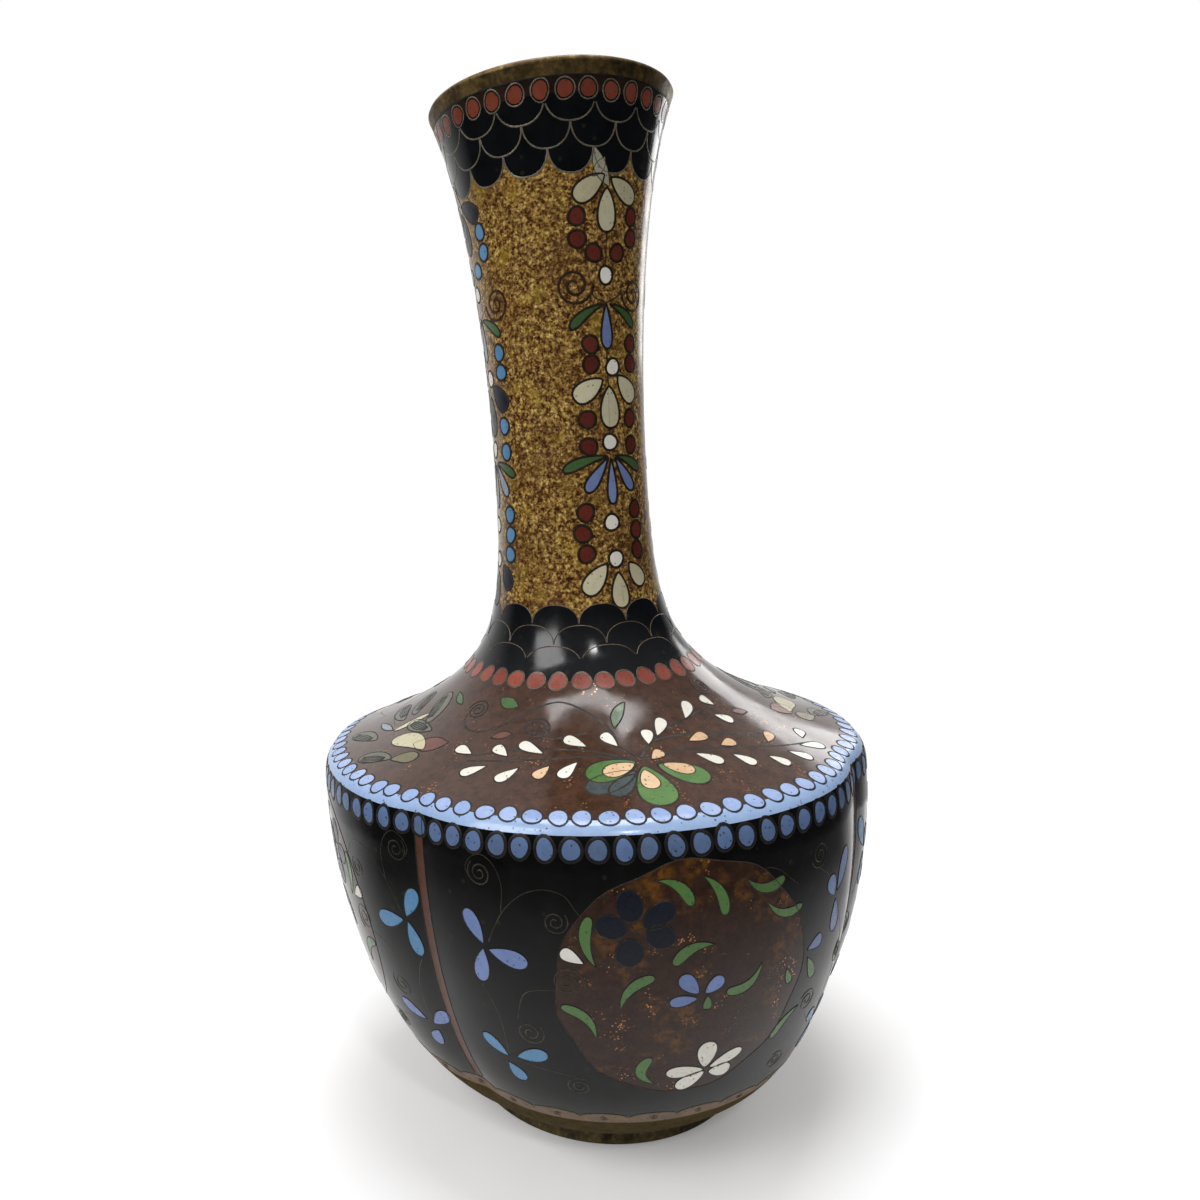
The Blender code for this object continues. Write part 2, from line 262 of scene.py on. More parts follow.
bladeShapes = {
    "drop": lambda t: t**0.8 * np.sqrt(np.clip(1 - t**4, 0, 1)) / 0.66,
    "petal": lambda t: t**0.6 * np.sqrt(np.clip(1 - t**2.6, 0, 1)) / 0.64,
    "tipped": lambda t: t**0.95 * (1 - t) ** 0.5 / 0.391,
    "lens": lambda t: t**0.75 * (1 - t) ** 0.42 / 0.47,
    "leaf": lambda t: np.sin(np.pi * t) ** 0.85,
    "comma": lambda t: t**0.9 * (1 - t) ** 0.35 / 0.476,
    "oval": lambda t: np.sqrt(np.clip(1 - (2 * t - 1) ** 2, 0, 1)),
}


# petal, leaf or drop from a pointed start to its end, each an (angle, spot) place
def blade(fill, wire, start, end, width, shape="drop", bend=0.0, lift="cell", wireWidth=0.24):
    (a0, s0), (a1, s1) = start, end
    aMid, sMid = (a0 + a1) / 2, (s0 + s1) / 2
    radius = radiusAt(sMid)
    p0, p1 = np.array([(a0 - aMid) * radius, s0 - sMid]), np.array([(a1 - aMid) * radius, s1 - sMid])
    run = p1 - p0
    knee = np.array([-run[1], run[0]]) * bend
    n = 14
    t = 0.5 - 0.5 * np.cos(np.linspace(0, np.pi, n))
    spine = ((1 - t)[:, None] ** 2) * p0 + (2 * t * (1 - t))[:, None] * knee + (t[:, None] ** 2) * p1
    way = np.gradient(spine, axis=0)
    way /= np.linalg.norm(way, axis=1)[:, None]
    normal = np.stack([-way[:, 1], way[:, 0]], 1)
    half = np.maximum(bladeShapes[shape](t), 0.03) * width / 2
    across = np.array([-1.0, -0.5, 0.0, 0.5, 1.0])
    points = spine[:, None] + normal[:, None] * (half[:, None] * across)[..., None]
    tone = float(rng.random())
    a, s = local(aMid, sMid, points.reshape(-1, 2))
    left, right = [i * 5 for i in range(n)], [i * 5 + 4 for i in range(n)]
    rim = left[::-1] + [1, 2, 3] + right + [(n - 1) * 5 + k for k in (3, 2, 1)]
    addSlab(sheet(fill), a, s, layers[lift], gridFaces(n, 5)[:, ::-1], rim[::-1], tone)
    a, s = local(aMid, sMid, np.concatenate([points[:, 0], points[::-1, 4]]))
    addWire(sheet(wire), a, s, wireWidth, closed=True)


# a blade for each row of (start, end, width), with its bend where it has one
def blades(rows, at, fill, wire, shape="drop", hand=1, **more):
    for start, end, width, *bend in rows:
        blade(fill, wire, at(*start), at(*end), width, shape, bend[0] * hand if bend else 0.0, **more)


def curve(wire, places, width=0.2, samples=6, sunk=0.0):
    p = np.array(places, float)
    ends = np.vstack([2 * p[0] - p[1], p, 2 * p[-1] - p[-2]])
    out = []
    for i in range(len(p) - 1):
        a, b, c, d = ends[i:i + 4]
        t = np.linspace(0, 1, samples, endpoint=False)[:, None]
        square, cube = 2 * a - 5 * b + 4 * c - d, 3 * b - a - 3 * c + d
        out.append(0.5 * (2 * b + (c - a) * t + square * t**2 + cube * t**3))
    out = np.vstack(out + [p[-1:]])
    addWire(sheet(wire), out[:, 0], out[:, 1], width, sunk=sunk)


def spiral(wire, angle, spot, size, turns=2.0, start=0.0, hand=1, width=0.2):
    t = np.linspace(0, 1, int(16 * turns))
    r = size * (0.16 + 0.84 * t)
    turn = math.radians(start) + hand * 2 * np.pi * turns * (t - 1)
    a, s = local(angle, spot, np.stack([r * np.cos(turn), r * np.sin(turn)], 1))
    addWire(sheet(wire), a, s, width)


# stems lie a little lower than the wires round the cells
def stems(wire, rows, at, width):
    for row in rows:
        curve(wire, [at(*p) for p in row], width, sunk=layers["stem"])


# turns (degrees, mm) into an (angle, spot) place
def place(centre, base, hand=1):
    return lambda degrees, up: (math.radians(centre + hand * degrees), base + up)


# heights of the borders between the enamel fields, in mm
borders = {
    "foot": 3.25, "footBorder": 12.6, "panelTop": 51.1, "upperBeads": 52.45,
    "shoulder": 63.9, "rootScales": 71.3, "mouthScales": 139.95, "collar": 147.0, "mouthBeads": 149.1,
}
spots = {name: float(spotAt(height)) for name, height in borders.items()}

# neck
scales = {
    "mouth": {"count": 15, "turn": -5.7, "drop": 3.6, "rise": 3.55, "way": -1,
              "first": spots["mouthScales"], "wire": "wireLight", "width": 0.27},
    "root": {"count": 12, "turn": -0.7, "drop": 2.7, "rise": 3.0, "way": 1, "first": spots["rootScales"],
             "wire": "wireRoot", "width": 0.18},
}


# 0 at the cusps of a scale and 1 at its middle
def crown(u):
    return np.clip(1 - np.abs(u) ** 2.3, 0, 1) ** 0.47


def scallop(angles, band):
    pitch = 2 * np.pi / band["count"]
    return band["drop"] * crown(((angles - math.radians(band["turn"])) / pitch + 0.5) % 1 * 2 - 1)


def scaleRow(band, row, reach, share):
    pitch = 2 * np.pi / band["count"]
    u = np.sin(np.linspace(-reach, reach, 15))
    line = band["first"] - band["way"] * band["rise"] * row + band["way"] * band["drop"] * crown(u)
    for k in range(band["count"]):
        middle = math.radians(band["turn"]) + pitch * (k + 0.5 * (row % 2))
        addWire(sheet(band["wire"]), middle + u * pitch / 2 * share, line, band["width"])


neckAngles = circle(480)
mouthEdge = scales["mouth"]["first"] - scallop(neckAngles, scales["mouth"])
rootEdge = scales["root"]["first"] + scallop(neckAngles, scales["root"])
addBand(sheet("neckField"), neckAngles, rootEdge, mouthEdge, 56)
addBand(sheet("mouthScales"), neckAngles, mouthEdge, spots["collar"], 10)
addBand(sheet("rootScales"), neckAngles, spots["shoulder"], rootEdge, 10)
for band in scales.values():
    scaleRow(band, 0, math.pi / 2, 0.99)
    scaleRow(band, 1, math.pi / 2, 0.99)
for band in scales.values():
    scaleRow(band, 2, 1.3, 1.0)  # the last row is cut short by the beads

# two rings of red dots, under the mouth and at the neck root
beadRings = {
    "mouth": {"count": 32, "height": 147.4, "wide": 2.15, "tall": 2.45, "turn": 3.0, "stray": 0.005,
              "fill": "redBeads", "wire": "wireLight", "ring": 0.22, "room": 0.22},
    "root": {"count": 35, "height": 63.85, "wide": 2.4, "tall": 2.5, "turn": 4.0, "stray": 0.005,
             "fill": "rootBeads", "wire": "wireRoot", "ring": 0.3, "room": 0.02},
}


def beadRow(row):
    middle = float(spotAt(row["height"]))
    for k in range(row["count"]):
        angle = math.radians(row["turn"]) + 2 * np.pi * k / row["count"] + rng.normal(0, row["stray"])
        dot(row["fill"], row["wire"], angle, middle + rng.normal(0, 0.07), row["wide"], row["tall"],
            row["ring"], row["room"])


for row in beadRings.values():
    beadRow(row)
addBand(sheet("mouthBeadGround"), circle(192), spots["collar"], spots["mouthBeads"], 3)
addWire(sheet("wireEdge"), circle(192), np.full(192, spots["mouthBeads"]), 0.3, closed=True)

# hanging garlands: places are (degrees, height) round each garland's middle
garland = {
    "turns": (15.0, 101.0, 188.0, -88.5),
    "petals": [((-2, 136.2), (-19.5, 132.7), 3.15), ((2.5, 135.8), (21, 132.9), 3.05),
               ((0, 134.4), (0.5, 128.2), 3.15), ((-4, 106.8), (-25, 104.0), 3.15),
               ((9, 107.3), (25, 103.6), 3.25), ((1, 105.8), (1.5, 99.6), 3.35),
               ((-9, 79.5), (-25.5, 75.4), 2.95), ((9, 79.4), (20.5, 76.0), 2.85),
               ((-1, 78.2), (-1.5, 73.0), 2.95)],
    "dots": [(-18.5, 130.4), (-18.5, 127.2), (-8.3, 125.2), (8.5, 125.3), (20, 127.6), (19.5, 130.7),
             (-12, 112.0), (-12, 109.1), (22, 112.2), (22, 109.2), (-16.5, 101.0), (-16.5, 97.0),
             (20, 101.0), (20, 97.0), (-21.5, 87.3), (20, 87.3), (-24.5, 84.2), (-22.5, 81.2), (20, 84.2),
             (19, 81.2)],
    "whites": [(0, 122.0), (4.5, 108.6), (0, 97.5), (-2.5, 85.6), (-1.5, 80.2)],
    "greens": [((-2, 117.8), (-25, 114.3), 1.5, -0.16), ((3, 117.8), (25.5, 114.7), 1.5, 0.16),
               ((-3, 95.4), (-35.5, 93.5), 1.6, -0.12), ((4, 95.4), (28.5, 93.2), 1.5, 0.12)],
    "blues": [((0, 118.0), (0.5, 111.3), 1.95), ((-2.5, 95.2), (-20, 90.3), 1.9),
              ((0, 95.0), (-0.5, 88.3), 1.7), ((3.5, 95.2), (19, 90.2), 1.9)],
    "spirals": [((-21.5, 120.6), 2.95, 0, 1), ((25.0, 119.6), 2.85, 180, -1)],
    "stems": [(123.4, 136.0), (98.9, 111.0), (73.5, 79.0)],
    "palettes": [{"petals": "cream", "dots": "darkRed", "blues": "periwinkle"},
                 {"petals": "navy", "dots": "skyBlue", "blues": "greyBlue"}],
}
for index, turn in enumerate(garland["turns"]):
    colors = garland["palettes"][index % 2]

    def at(degrees, height):
        return math.radians(turn + degrees), float(spotAt(height))

    blades(garland["petals"], at, colors["petals"], "wireDark", "lens", wireWidth=0.42)
    for spot in garland["dots"]:
        dot(colors["dots"], "wireDark", *at(*spot), 2.2, 2.25, 0.5)
    for spot in garland["whites"]:
        dot("white", "wireDark", *at(*spot), 2.1, 2.25, 0.46)
    blades(garland["greens"], at, "green", "wireDark", wireWidth=0.42)
    blades(garland["blues"], at, colors["blues"], "wireDark", wireWidth=0.42)
    for middle, size, start, hand in garland["spirals"]:
        a, s = at(*middle)
        spiral("wireNeck", a, s, size, 1.9, start, hand, 0.5)
        curve("wireNeck", [(a + (size / radiusAt(s)) * hand, s + 0.3), at(-hand * 9, 119.0), at(0, 118.0)],
              0.44, sunk=layers["stem"])
    stems("wireNeck", [[(0, low), (0.4, (low + high) / 2), (0, high)] for low, high in garland["stems"]],
          at, 0.4)
    blade("stemGrey", "wireDark", at(-8, 139.9), at(1.5, 134.6), 2.1, "leaf", -0.12, lift="petal",
          wireWidth=0.16)
    blade("stemGrey", "wireDark", at(-2, 138.6), at(-9, 135.9), 1.5, "leaf", 0.1, wireWidth=0.16)
print("neck made")

# shoulder and edge
addBand(sheet("shoulderField"), circle(288), spots["upperBeads"], spots["shoulder"], 26)
addBand(sheet("edgeBand"), circle(360), spots["panelTop"], spots["upperBeads"], 6)
edgeRows = {
    "upper": {"count": 80, "height": 52.62, "wide": 2.35, "tall": 2.3, "turn": 1.0, "stray": 0.0025,
              "fill": "upperBeads", "wire": "wireEdge", "ring": 0.3, "room": 0.0},
    # the lower beads' blue is darkened with painted shade
    "lower": {"count": 85, "height": 49.55, "wide": 2.15, "tall": 2.55, "turn": 2.0, "stray": 0.0025,
              "fill": "lowerBeads", "wire": "wireEdge", "ring": 0.5, "room": 0.0},
}
for row in edgeRows.values():
    beadRow(row)

# places are (degrees, mm) round the middle of a lobe; up is towards the neck
spray = {
    "spot": float(spotAt(55.9)), "leafWidth": 1.85,
    "leaves": [((-15.5, 3.6), (-22.2, 5.3)), ((-27.0, 2.2), (-34.8, 4.0)), ((-36.5, 1.2), (-41.8, 2.8)),
               ((-47.0, 0.6), (-53.2, 1.4)), ((-18.0, 0.8), (-22.0, -2.2)), ((-32.2, -0.7), (-36.5, -3.6)),
               ((-40.5, -1.1), (-46.0, -3.6)), ((-7.0, 3.4), (-10.8, 6.0)), ((1.5, 3.3), (3.0, 6.1)),
               ((5.2, 4.6), (10.5, 7.7)), ((18.2, 6.8), (24.8, 9.7)), ((30.0, 6.2), (34.5, 4.1)),
               ((35.0, 7.6), (32.5, 9.8)), ((47.5, -4.1), (52.0, -2.9)), ((42.5, -4.4), (49.2, -7.2)),
               ((36.2, -4.0), (39.5, -6.8)), ((29.2, -3.3), (31.5, -6.0)), ((21.0, -1.1), (24.0, -3.9)),
               ((12.0, 0.5), (17.0, -2.1))],
    "peachLeaves": [((-24.8, 0.0), (-27.8, -2.4), 1.7), ((13.2, 2.9), (20.0, 3.4), 1.7),
                    ((20.8, 0.9), (26.0, 1.0), 1.7), ((35.0, -1.3), (40.2, -0.1), 1.7),
                    ((0.2, 0.6), (4.0, 1.9), 1.7)],
    "greenPetals": [((-4.0, 0.3), (-16.2, -1.9), 3.9), ((-2.5, -0.6), (-1.8, -7.9), 4.8),
                    ((1.0, -0.6), (10.6, -4.3), 3.7)],
    "peachPetals": [((-4.5, 0.0), (-12.2, -1.5), 2.4), ((-2.8, -1.3), (-2.5, -4.8), 2.4),
                    ((2.3, -0.6), (8.6, -2.5), 2.1)],
    "slatePetals": [((-4.8, -1.4), (-16.2, -4.5), 3.4), ((-5.2, -2.0), (-11.2, -5.5), 2.6)],
    "buds": [((-6.4, 6.8), (0.0, 11.2), 1.6, 0.2), ((-41.0, 10.5), (-50.5, 11.6), 2.0, 0.1),
             ((-68.0, 9.0), (-76.8, 10.7), 1.2, 0.1)],
    "stems": [[(-3.6, 0.8), (-15, 1.9), (-26, 1.2), (-40, 0.0), (-47, -0.8)],
              [(-2.4, 0.8), (9, 1.5), (22, 0.2), (36, -2.6), (45, -4.6)],
              [(-2.2, 1.2), (2.2, 3.6), (10, 5.8), (24, 7.4), (33, 7.6)],
              [(3, 4.0), (12, 4.2), (26, 2.6), (37, 0.4)],
              [(-3.2, 1.2), (-6.8, 3.4), (-7.5, 5.8), (-11.2, 8.6), (-18.8, 10.9), (-26.0, 11.6),
               (-34.0, 10.4), (-40.2, 8.2), (-47.2, 5.6), (-53.8, 4.9), (-59.5, 6.4), (-60.8, 8.6)],
              [(-15, 6.2), (-20.5, 5.6), (-25.8, 5.0), (-30.0, 4.9)],
              [(-5.2, 1.0), (-14, 2.8), (-28, 3.1), (-38, 2.0), (-46, 0.5)]],
    "spirals": [((-31.5, 7.0), 2.05, 265, -1), ((-57.7, 8.8), 1.9, 180, 1), ((39, 11.2), 1.7, 120, -1)],
}


def addSpray(centre, hand):
    at = place(centre, spray["spot"], hand)
    for start, end in spray["leaves"]:
        blade("white", "wireField", at(*start), at(*end), spray["leafWidth"], "drop", rng.normal(0, 0.06),
              wireWidth=0.26)
    blades(spray["peachLeaves"], at, "peach", "wireField", wireWidth=0.2)
    blades(spray["slatePetals"], at, "slate", "wireField", "petal", wireWidth=0.3)
    blades(spray["greenPetals"], at, "leafGreen", "wireField", "petal", lift="petal", wireWidth=0.34)
    blades(spray["peachPetals"], at, "peach", "wireField", "petal", lift="inner", wireWidth=0.34)
    blades(spray["buds"], at, "green", "wireField", "leaf")
    stems("wireVine", spray["stems"], at, 0.66)
    for middle, size, start, way in spray["spirals"]:
        spiral("wireVine", *at(*middle), size, 2.4, start, way, 0.32)


# a winged flower on the two side lobes
wing = {
    "spot": float(spotAt(55.9)),
    "wings": [((15.5, 3.5), (5.2, 9.5), 3.4, -0.16), ((21.5, 2.9), (7.5, 2.2), 2.6, 0.0),
              ((21.2, -4.4), (12.2, -7.4), 2.8, -0.17), ((3, 3.4), (-9, 7.6), 3.2, 0.12),
              ((2, 1.6), (-13, 2.2), 2.8, 0.1), ((6, -3.6), (-6, -6.8), 2.8, -0.14)],
    "olive": [((21.6, -4.5), (28.4, -2.6), 2.6, 0.2)],
    "cream": [((27.0, -0.7), (12.5, -1.8), 3.4, -0.3)],
    "bars": [((6.6, -0.6), (10.4, 5.2), 1.5, 0.08)],
    "red": [((21.5, -0.4), (32.5, 1.9), 3.2, -0.07), ((45.2, 4.3), (51.5, 5.5), 1.4, 0.1)],
    "grey": [((5.5, -0.7), (-5.5, -2.0), 1.3, 0.0)],
    "spirals": [((-28, 7.4), 2.0, 0, 1), ((-33, -2.5), 1.8, 60, -1)],
    "stems": [[(2, 0), (-12, 0.4), (-22, 3.0), (-25.5, 6.0)], [(-14, -2), (-26, -4.8), (-33, -4.3)]],
    "veins": (-0.7, -0.35, 0.0, 0.35, 0.7), "swell": ((0.2, 0.4), (0.55, 0.8), (0.9, 0.5)),
}


def addWinged(centre, hand):
    at = place(centre, wing["spot"], hand)
    for key, fill, shape in (("wings", "wingGreen", "petal"), ("olive", "olive", "petal"),
                             ("grey", "greyBlue", "leaf"), ("bars", "cream", "oval"),
                             ("red", "rustRed", "leaf"), ("cream", "cream", "petal")):
        blades(wing[key], at, fill, "wireField", shape, hand, lift="inner" if key == "cream" else "cell",
               wireWidth=0.26)
    for start, end, width, bend in wing["wings"]:
        a, b = np.array(start), np.array(end)
        across = np.array([-(b - a)[1] * 1.6, (b - a)[0] * 0.6])
        across *= width / 2 / np.hypot(across[0] * 0.62, across[1])
        for share in wing["veins"]:  # veins along each wing
            curve("wireField", [at(*(a + (b - a) * t + across * share * swell))
                                for t, swell in wing["swell"]], 0.26)
    for middle, size, start, way in wing["spirals"]:
        spiral("wireVine", *at(*middle), size, 2.2, start, way * hand, 0.2)
    stems("wireVine", wing["stems"], at, 0.2)


for index, (add, hand) in enumerate(((addSpray, 1), (addWinged, -1), (addSpray, 1), (addWinged, 1))):
    add(index * lobeTurn, hand)
print("shoulder made")

# body
body = {"stripe": 1.5, "roundel": 16.3, "roundelHeight": 31.5, "roundelDepth": 0.05, "panelColumns": 96,
        "panelRows": 52}
lowPanel, highPanel = spots["footBorder"], spots["panelTop"]
spread = wall["lobeSpread"]
sides = ("front", "right", "back", "left")


# a closed slab of the wall's skin between rows and columns of places
def addSkin(target, angles, rows):
    outer = onWall(angles, rows[:, None], layers["ground"])
    inner = onWall(angles, rows[:, None], layers["ground"] + layers["wall"])
    high, wide = outer.shape[:2]
    n = high * wide
    faces = gridFaces(high, wide)
    rim = (list(range(wide)) + [i * wide + wide - 1 for i in range(1, high)]
           + [(high - 1) * wide + j for j in range(wide - 2, -1, -1)]
           + [i * wide for i in range(high - 2, 0, -1)])
    side = np.array([[rim[i - 1], rim[i - 1] + n, rim[i] + n, rim[i]] for i in range(len(rim))])
    target.add(np.concatenate([outer.reshape(-1, 3), inner.reshape(-1, 3)]),
               np.concatenate([faces, faces[:, ::-1] + n, side]))


panelRows = np.linspace(lowPanel, highPanel, body["panelRows"] + 1)


def panelBand(target, centre, spread):
    half = math.radians(lobeTurn / 2 + spread) - body["stripe"] / 2 / radiusAt(panelRows)
    addSkin(target, math.radians(centre) + half[:, None] * np.linspace(-1, 1, body["panelColumns"] + 1),
            panelRows)


def stripeBand(target, centre):
    half = (body["stripe"] / 2 - 0.02) / radiusAt(panelRows)
    angles = math.radians(centre) + half[:, None] * np.linspace(-1, 1, 7)
    addSkin(target, angles, panelRows)
    for edge in (0, -1):
        addWire(sheet("wireField"), angles[:, edge], panelRows, 0.2)


def roundelDisc(target, centre, spot, radius):
    corners = 72
    turn = circle(corners)
    rings = np.linspace(1, 0.04, 22)
    edge = 1 + sum(rng.normal(0, 0.007) * np.sin(k * turn + rng.random() * 6) for k in (3, 5, 8, 11))
    rim = np.stack([edge * np.cos(turn), edge * np.sin(turn)], 1)
    a, s = local(math.radians(centre), spot, (rings[:, None, None] * rim).reshape(-1, 2) * radius)
    n = len(a)
    start = target.count
    addSlab(target, a, s, body["roundelDepth"], gridFaces(len(rings), corners, closedColumns=True),
            list(range(corners)), 0.5)
    hub = np.arange(n - corners, n)
    target.faces.append((hub + start)[None])
    target.faces.append((hub[::-1] + n + start)[None])
    a, s = local(math.radians(centre), spot, rim * (radius + 0.05))
    addWire(sheet("wireDark"), a, s, 0.16, closed=True)


panel = {
    "spot": float(spotAt(body["roundelHeight"])),
    "flowers": [[((-35.8, 5.2), (-38.8, 9.4), 2.2), ((-35.0, 4.6), (-27.8, 3.5), 2.4),
                 ((-36.0, 4.6), (-37.5, -0.2), 2.2)],
                [((-35.0, -11.6), (-40.0, -8.8), 2.0), ((-33.2, -11.3), (-26.5, -9.7), 2.2),
                 ((-35.5, -12.7), (-32.8, -15.7), 2.1)],
                [((32.6, 6.2), (30.6, 9.2), 2.3), ((33.6, 6.6), (38.0, 11.5), 2.6),
                 ((33.2, 5.6), (33.8, 1.0), 2.3)],
                [((35.4, -13.2), (32.0, -10.8), 2.1), ((36.6, -13.0), (40.6, -11.0), 2.2),
                 ((36.0, -14.2), (35.2, -18.4), 2.2)]],
    "bud": [((-18.2, 4.2), (-22.0, 5.8), 1.8)], "sideBud": [((24.8, 0.8), (29.2, 1.5), 1.9)],
    "navy": [((-9.8, 9.6), (-10.8, 13.4), 3.1), ((-8.0, 8.9), (-3.0, 11.4), 2.8),
             ((-11.0, 8.5), (-16.0, 9.5), 2.9), ((-7.8, 8.0), (-3.0, 7.0), 3.0),
             ((-10.0, 7.4), (-11.2, 3.9), 3.3)],
    "trefoil": [((1.2, -0.6), (-2.0, 2.1), 2.1), ((2.5, -0.7), (5.8, 1.1), 1.9),
                ((1.0, -1.3), (-4.0, -1.5), 1.6)],
    "white": [((4.0, -12.5), (4.0, -8.2), 2.7), ((5.0, -12.7), (11.8, -10.8), 1.9),
              ((5.0, -13.5), (10.0, -13.9), 2.4), ((3.7, -12.9), (-4.0, -12.6), 2.1),
              ((4.0, -13.3), (-1.5, -15.8), 2.4)],
    "commas": [((-5.8, 14.3), (0.0, 10.9), 1.45, 0.36), ((2.0, 14.3), (5.8, 9.1), 1.45, 0.29),
               ((10.0, 13.0), (17.8, 12.0), 1.4, -0.43), ((14.0, 9.6), (22.2, 7.6), 1.2, -0.40),
               ((4.0, 5.6), (-3.2, 3.6), 1.5, -0.36), ((-16.2, 3.8), (-16.8, 10.2), 1.5, 0.29),
               ((-12.5, -2.1), (-6.5, 2.2), 1.4, 0.36), ((13.5, 1.8), (6.5, -1.1), 1.4, 0.48),
               ((-17.0, -6.5), (-22.8, -1.9), 1.4, -0.41), ((-6.0, -14.4), (-7.0, -9.7), 1.5, 0.65),
               ((19.5, -0.5), (20.8, -2.8), 1.1, 0.0), ((25.2, -0.4), (28.0, -3.9), 1.5, 0.05),
               ((25.2, -7.4), (19.0, -11.1), 1.3, -0.2), ((3.0, -1.1), (3.0, -3.1), 1.2, 0.0)],
    "spirals": [((-35.3, 14.4), 1.7, 130, -1), ((-22.5, 9.4), 1.6, 40, 1), ((-21.2, 1.6), 2.2, 300, -1),
                ((-29.2, -6.5), 1.9, 40, 1), ((27.0, 13.0), 1.8, 200, -1), ((39.5, -3.6), 1.9, 100, -1),
                ((28.2, -7.6), 1.8, 150, 1), ((-21.0, -15.0), 1.7, 60, -1), ((23.5, -16.5), 1.7, 120, 1)],
    "stems": [[(-37.3, 13.6), (-38.0, 14.8), (-36.8, 16.2), (-34.6, 16.7), (-32.5, 15.6), (-31.3, 13.2),
               (-31.8, 9.9)],
              [(-34.8, 5.6), (-33.0, 8.2), (-30.8, 10.6), (-27.5, 12.6), (-24.0, 13.3), (-20.8, 12.7),
               (-19.0, 10.9), (-18.0, 9.9)], [(-37.5, -0.6), (-36.2, -2.4), (-34.8, -6.0), (-34.8, -11.2)],
              [(-23.5, 0.4), (-29.0, -0.6), (-31.2, -4.6)], [(27.0, 11.2), (30.0, 9.6), (33.0, 6.6)],
              [(33.4, 5.2), (37.5, 1.0), (39.5, -1.8)], [(38.8, -5.4), (37.0, -9.0), (36.0, -13.4)],
              [(28.2, -9.3), (31.0, -11.5), (35.4, -13.4)],
              [(-21.0, -13.3), (-28.0, -12.5), (-34.0, -12.0)]],
    "hairlines": [[(-9.5, 8.4), (-5.0, 10.0), (-1.5, 12.4)], [(-9.5, 8.4), (-12.0, 11.0), (-14.5, 13.0)],
                  [(-9.5, 8.4), (-13.0, 7.0), (-15.5, 6.0)], [(-9.5, 8.4), (-7.0, 5.4), (-6.0, 3.0)],
                  [(2.0, -0.9), (3.4, 1.2), (3.8, 3.2)], [(8, 12.8), (15, 13.6), (21, 10.5)]],
}


def addPanel(index):
    centre = index * lobeTurn
    hand = 1 if index % 2 == 0 else -1
    at = place(centre, panel["spot"], hand)
    roundelDisc(sheet("roundel_" + sides[index]), centre, panel["spot"], body["roundel"])
    colors = ("lightBlue", "skyBlue") * 2 if index % 2 == 0 else ("skyBlue", "lightBlue") * 2
    for flower, color in zip(panel["flowers"], colors):
        blades(flower, at, color, "wireField", "tipped", wireWidth=0.18)
    blades(panel["bud"], at, "white", "wireField", wireWidth=0.2)
    blades(panel["sideBud"], at, "lightBlue" if index % 2 == 0 else "white", "wireField", wireWidth=0.2)
    blades(panel["navy"], at, "navy", "wireVine", "oval", wireWidth=0.2)
    blades(panel["trefoil"], at, "lightBlue", "wireField", "petal", wireWidth=0.2)
    blades(panel["white"], at, "white", "wireField", "petal", wireWidth=0.2)
    blades(panel["commas"], at, "leafGreen", "wireField", "comma", hand, wireWidth=0.18)
    for middle, size, start, way in panel["spirals"]:
        spiral("wireBody", *at(*middle), size, 2.0, start if hand > 0 else 180 - start, way * hand, 0.19)
    stems("wireBody", panel["stems"], at, 0.19)
    stems("wireVine", panel["hairlines"], at, 0.14)


for index, side in enumerate(sides):
    wider = spread if index % 2 == 0 else -spread
    panelBand(sheet("panel_" + side), index * lobeTurn, wider)
    stripeBand(sheet("stripe_" + side), (index + 0.5) * lobeTurn + wider)
    addPanel(index)

# scalloped border above the foot: clouds with a curl in each
cloud = {"count": 32, "drop": 1.15, "turn": 6.0, "curl": 0.6, "top": 11.1, "low": 9.9}
cloudAngles = circle(576)
cloudEdge = float(spotAt(cloud["top"])) + scallop(cloudAngles, cloud)
cloudLow = float(spotAt(cloud["low"]))
# painted shade: the band under the clouds is brass-brown like the foot ring, darkened as shade under the
# belly
addBand(sheet("footShade"), cloudAngles, spots["foot"], cloudLow, 8)
addBand(sheet("footBorder"), cloudAngles, cloudLow, cloudEdge, 6)
addBand(sheet("footGround"), cloudAngles, cloudEdge, spots["footBorder"], 3)
pitch = 2 * np.pi / cloud["count"]
u = np.sin(np.linspace(-np.pi / 2, np.pi / 2, 11))
top = float(spotAt(cloud["top"]))
for k in range(cloud["count"]):
    middle = math.radians(cloud["turn"]) + pitch * k
    addWire(sheet("wireBody"), middle + u * pitch / 2 * 0.99, top + cloud["drop"] * np.sqrt(1 - u * u), 0.2)
    spiral("wireBody", middle, top - 0.2, cloud["curl"], 1.5, 90, 1 if k % 2 else -1, 0.16)
print("body made")


# brass rings and the inside: sections are (radius, height) points in mm
def turned(target, section, count=192):
    section = np.array(section, float)
    angle = circle(count)
    points = np.stack([section[:, :1] * np.sin(angle), -section[:, :1] * np.cos(angle),
                       np.repeat(section[:, 1:], count, 1)], -1) * mm
    target.add(points, gridFaces(len(section), count, closedRows=True, closedColumns=True))


def wallPoint(spot, depth):
    r = radiusAt(spot) - np.interp(spot, along, slopes[:, 1]) * depth
    z = np.interp(spot, along, outline[:, 1]) + np.interp(spot, along, slopes[:, 0]) * depth
    return [float(r), float(z)]


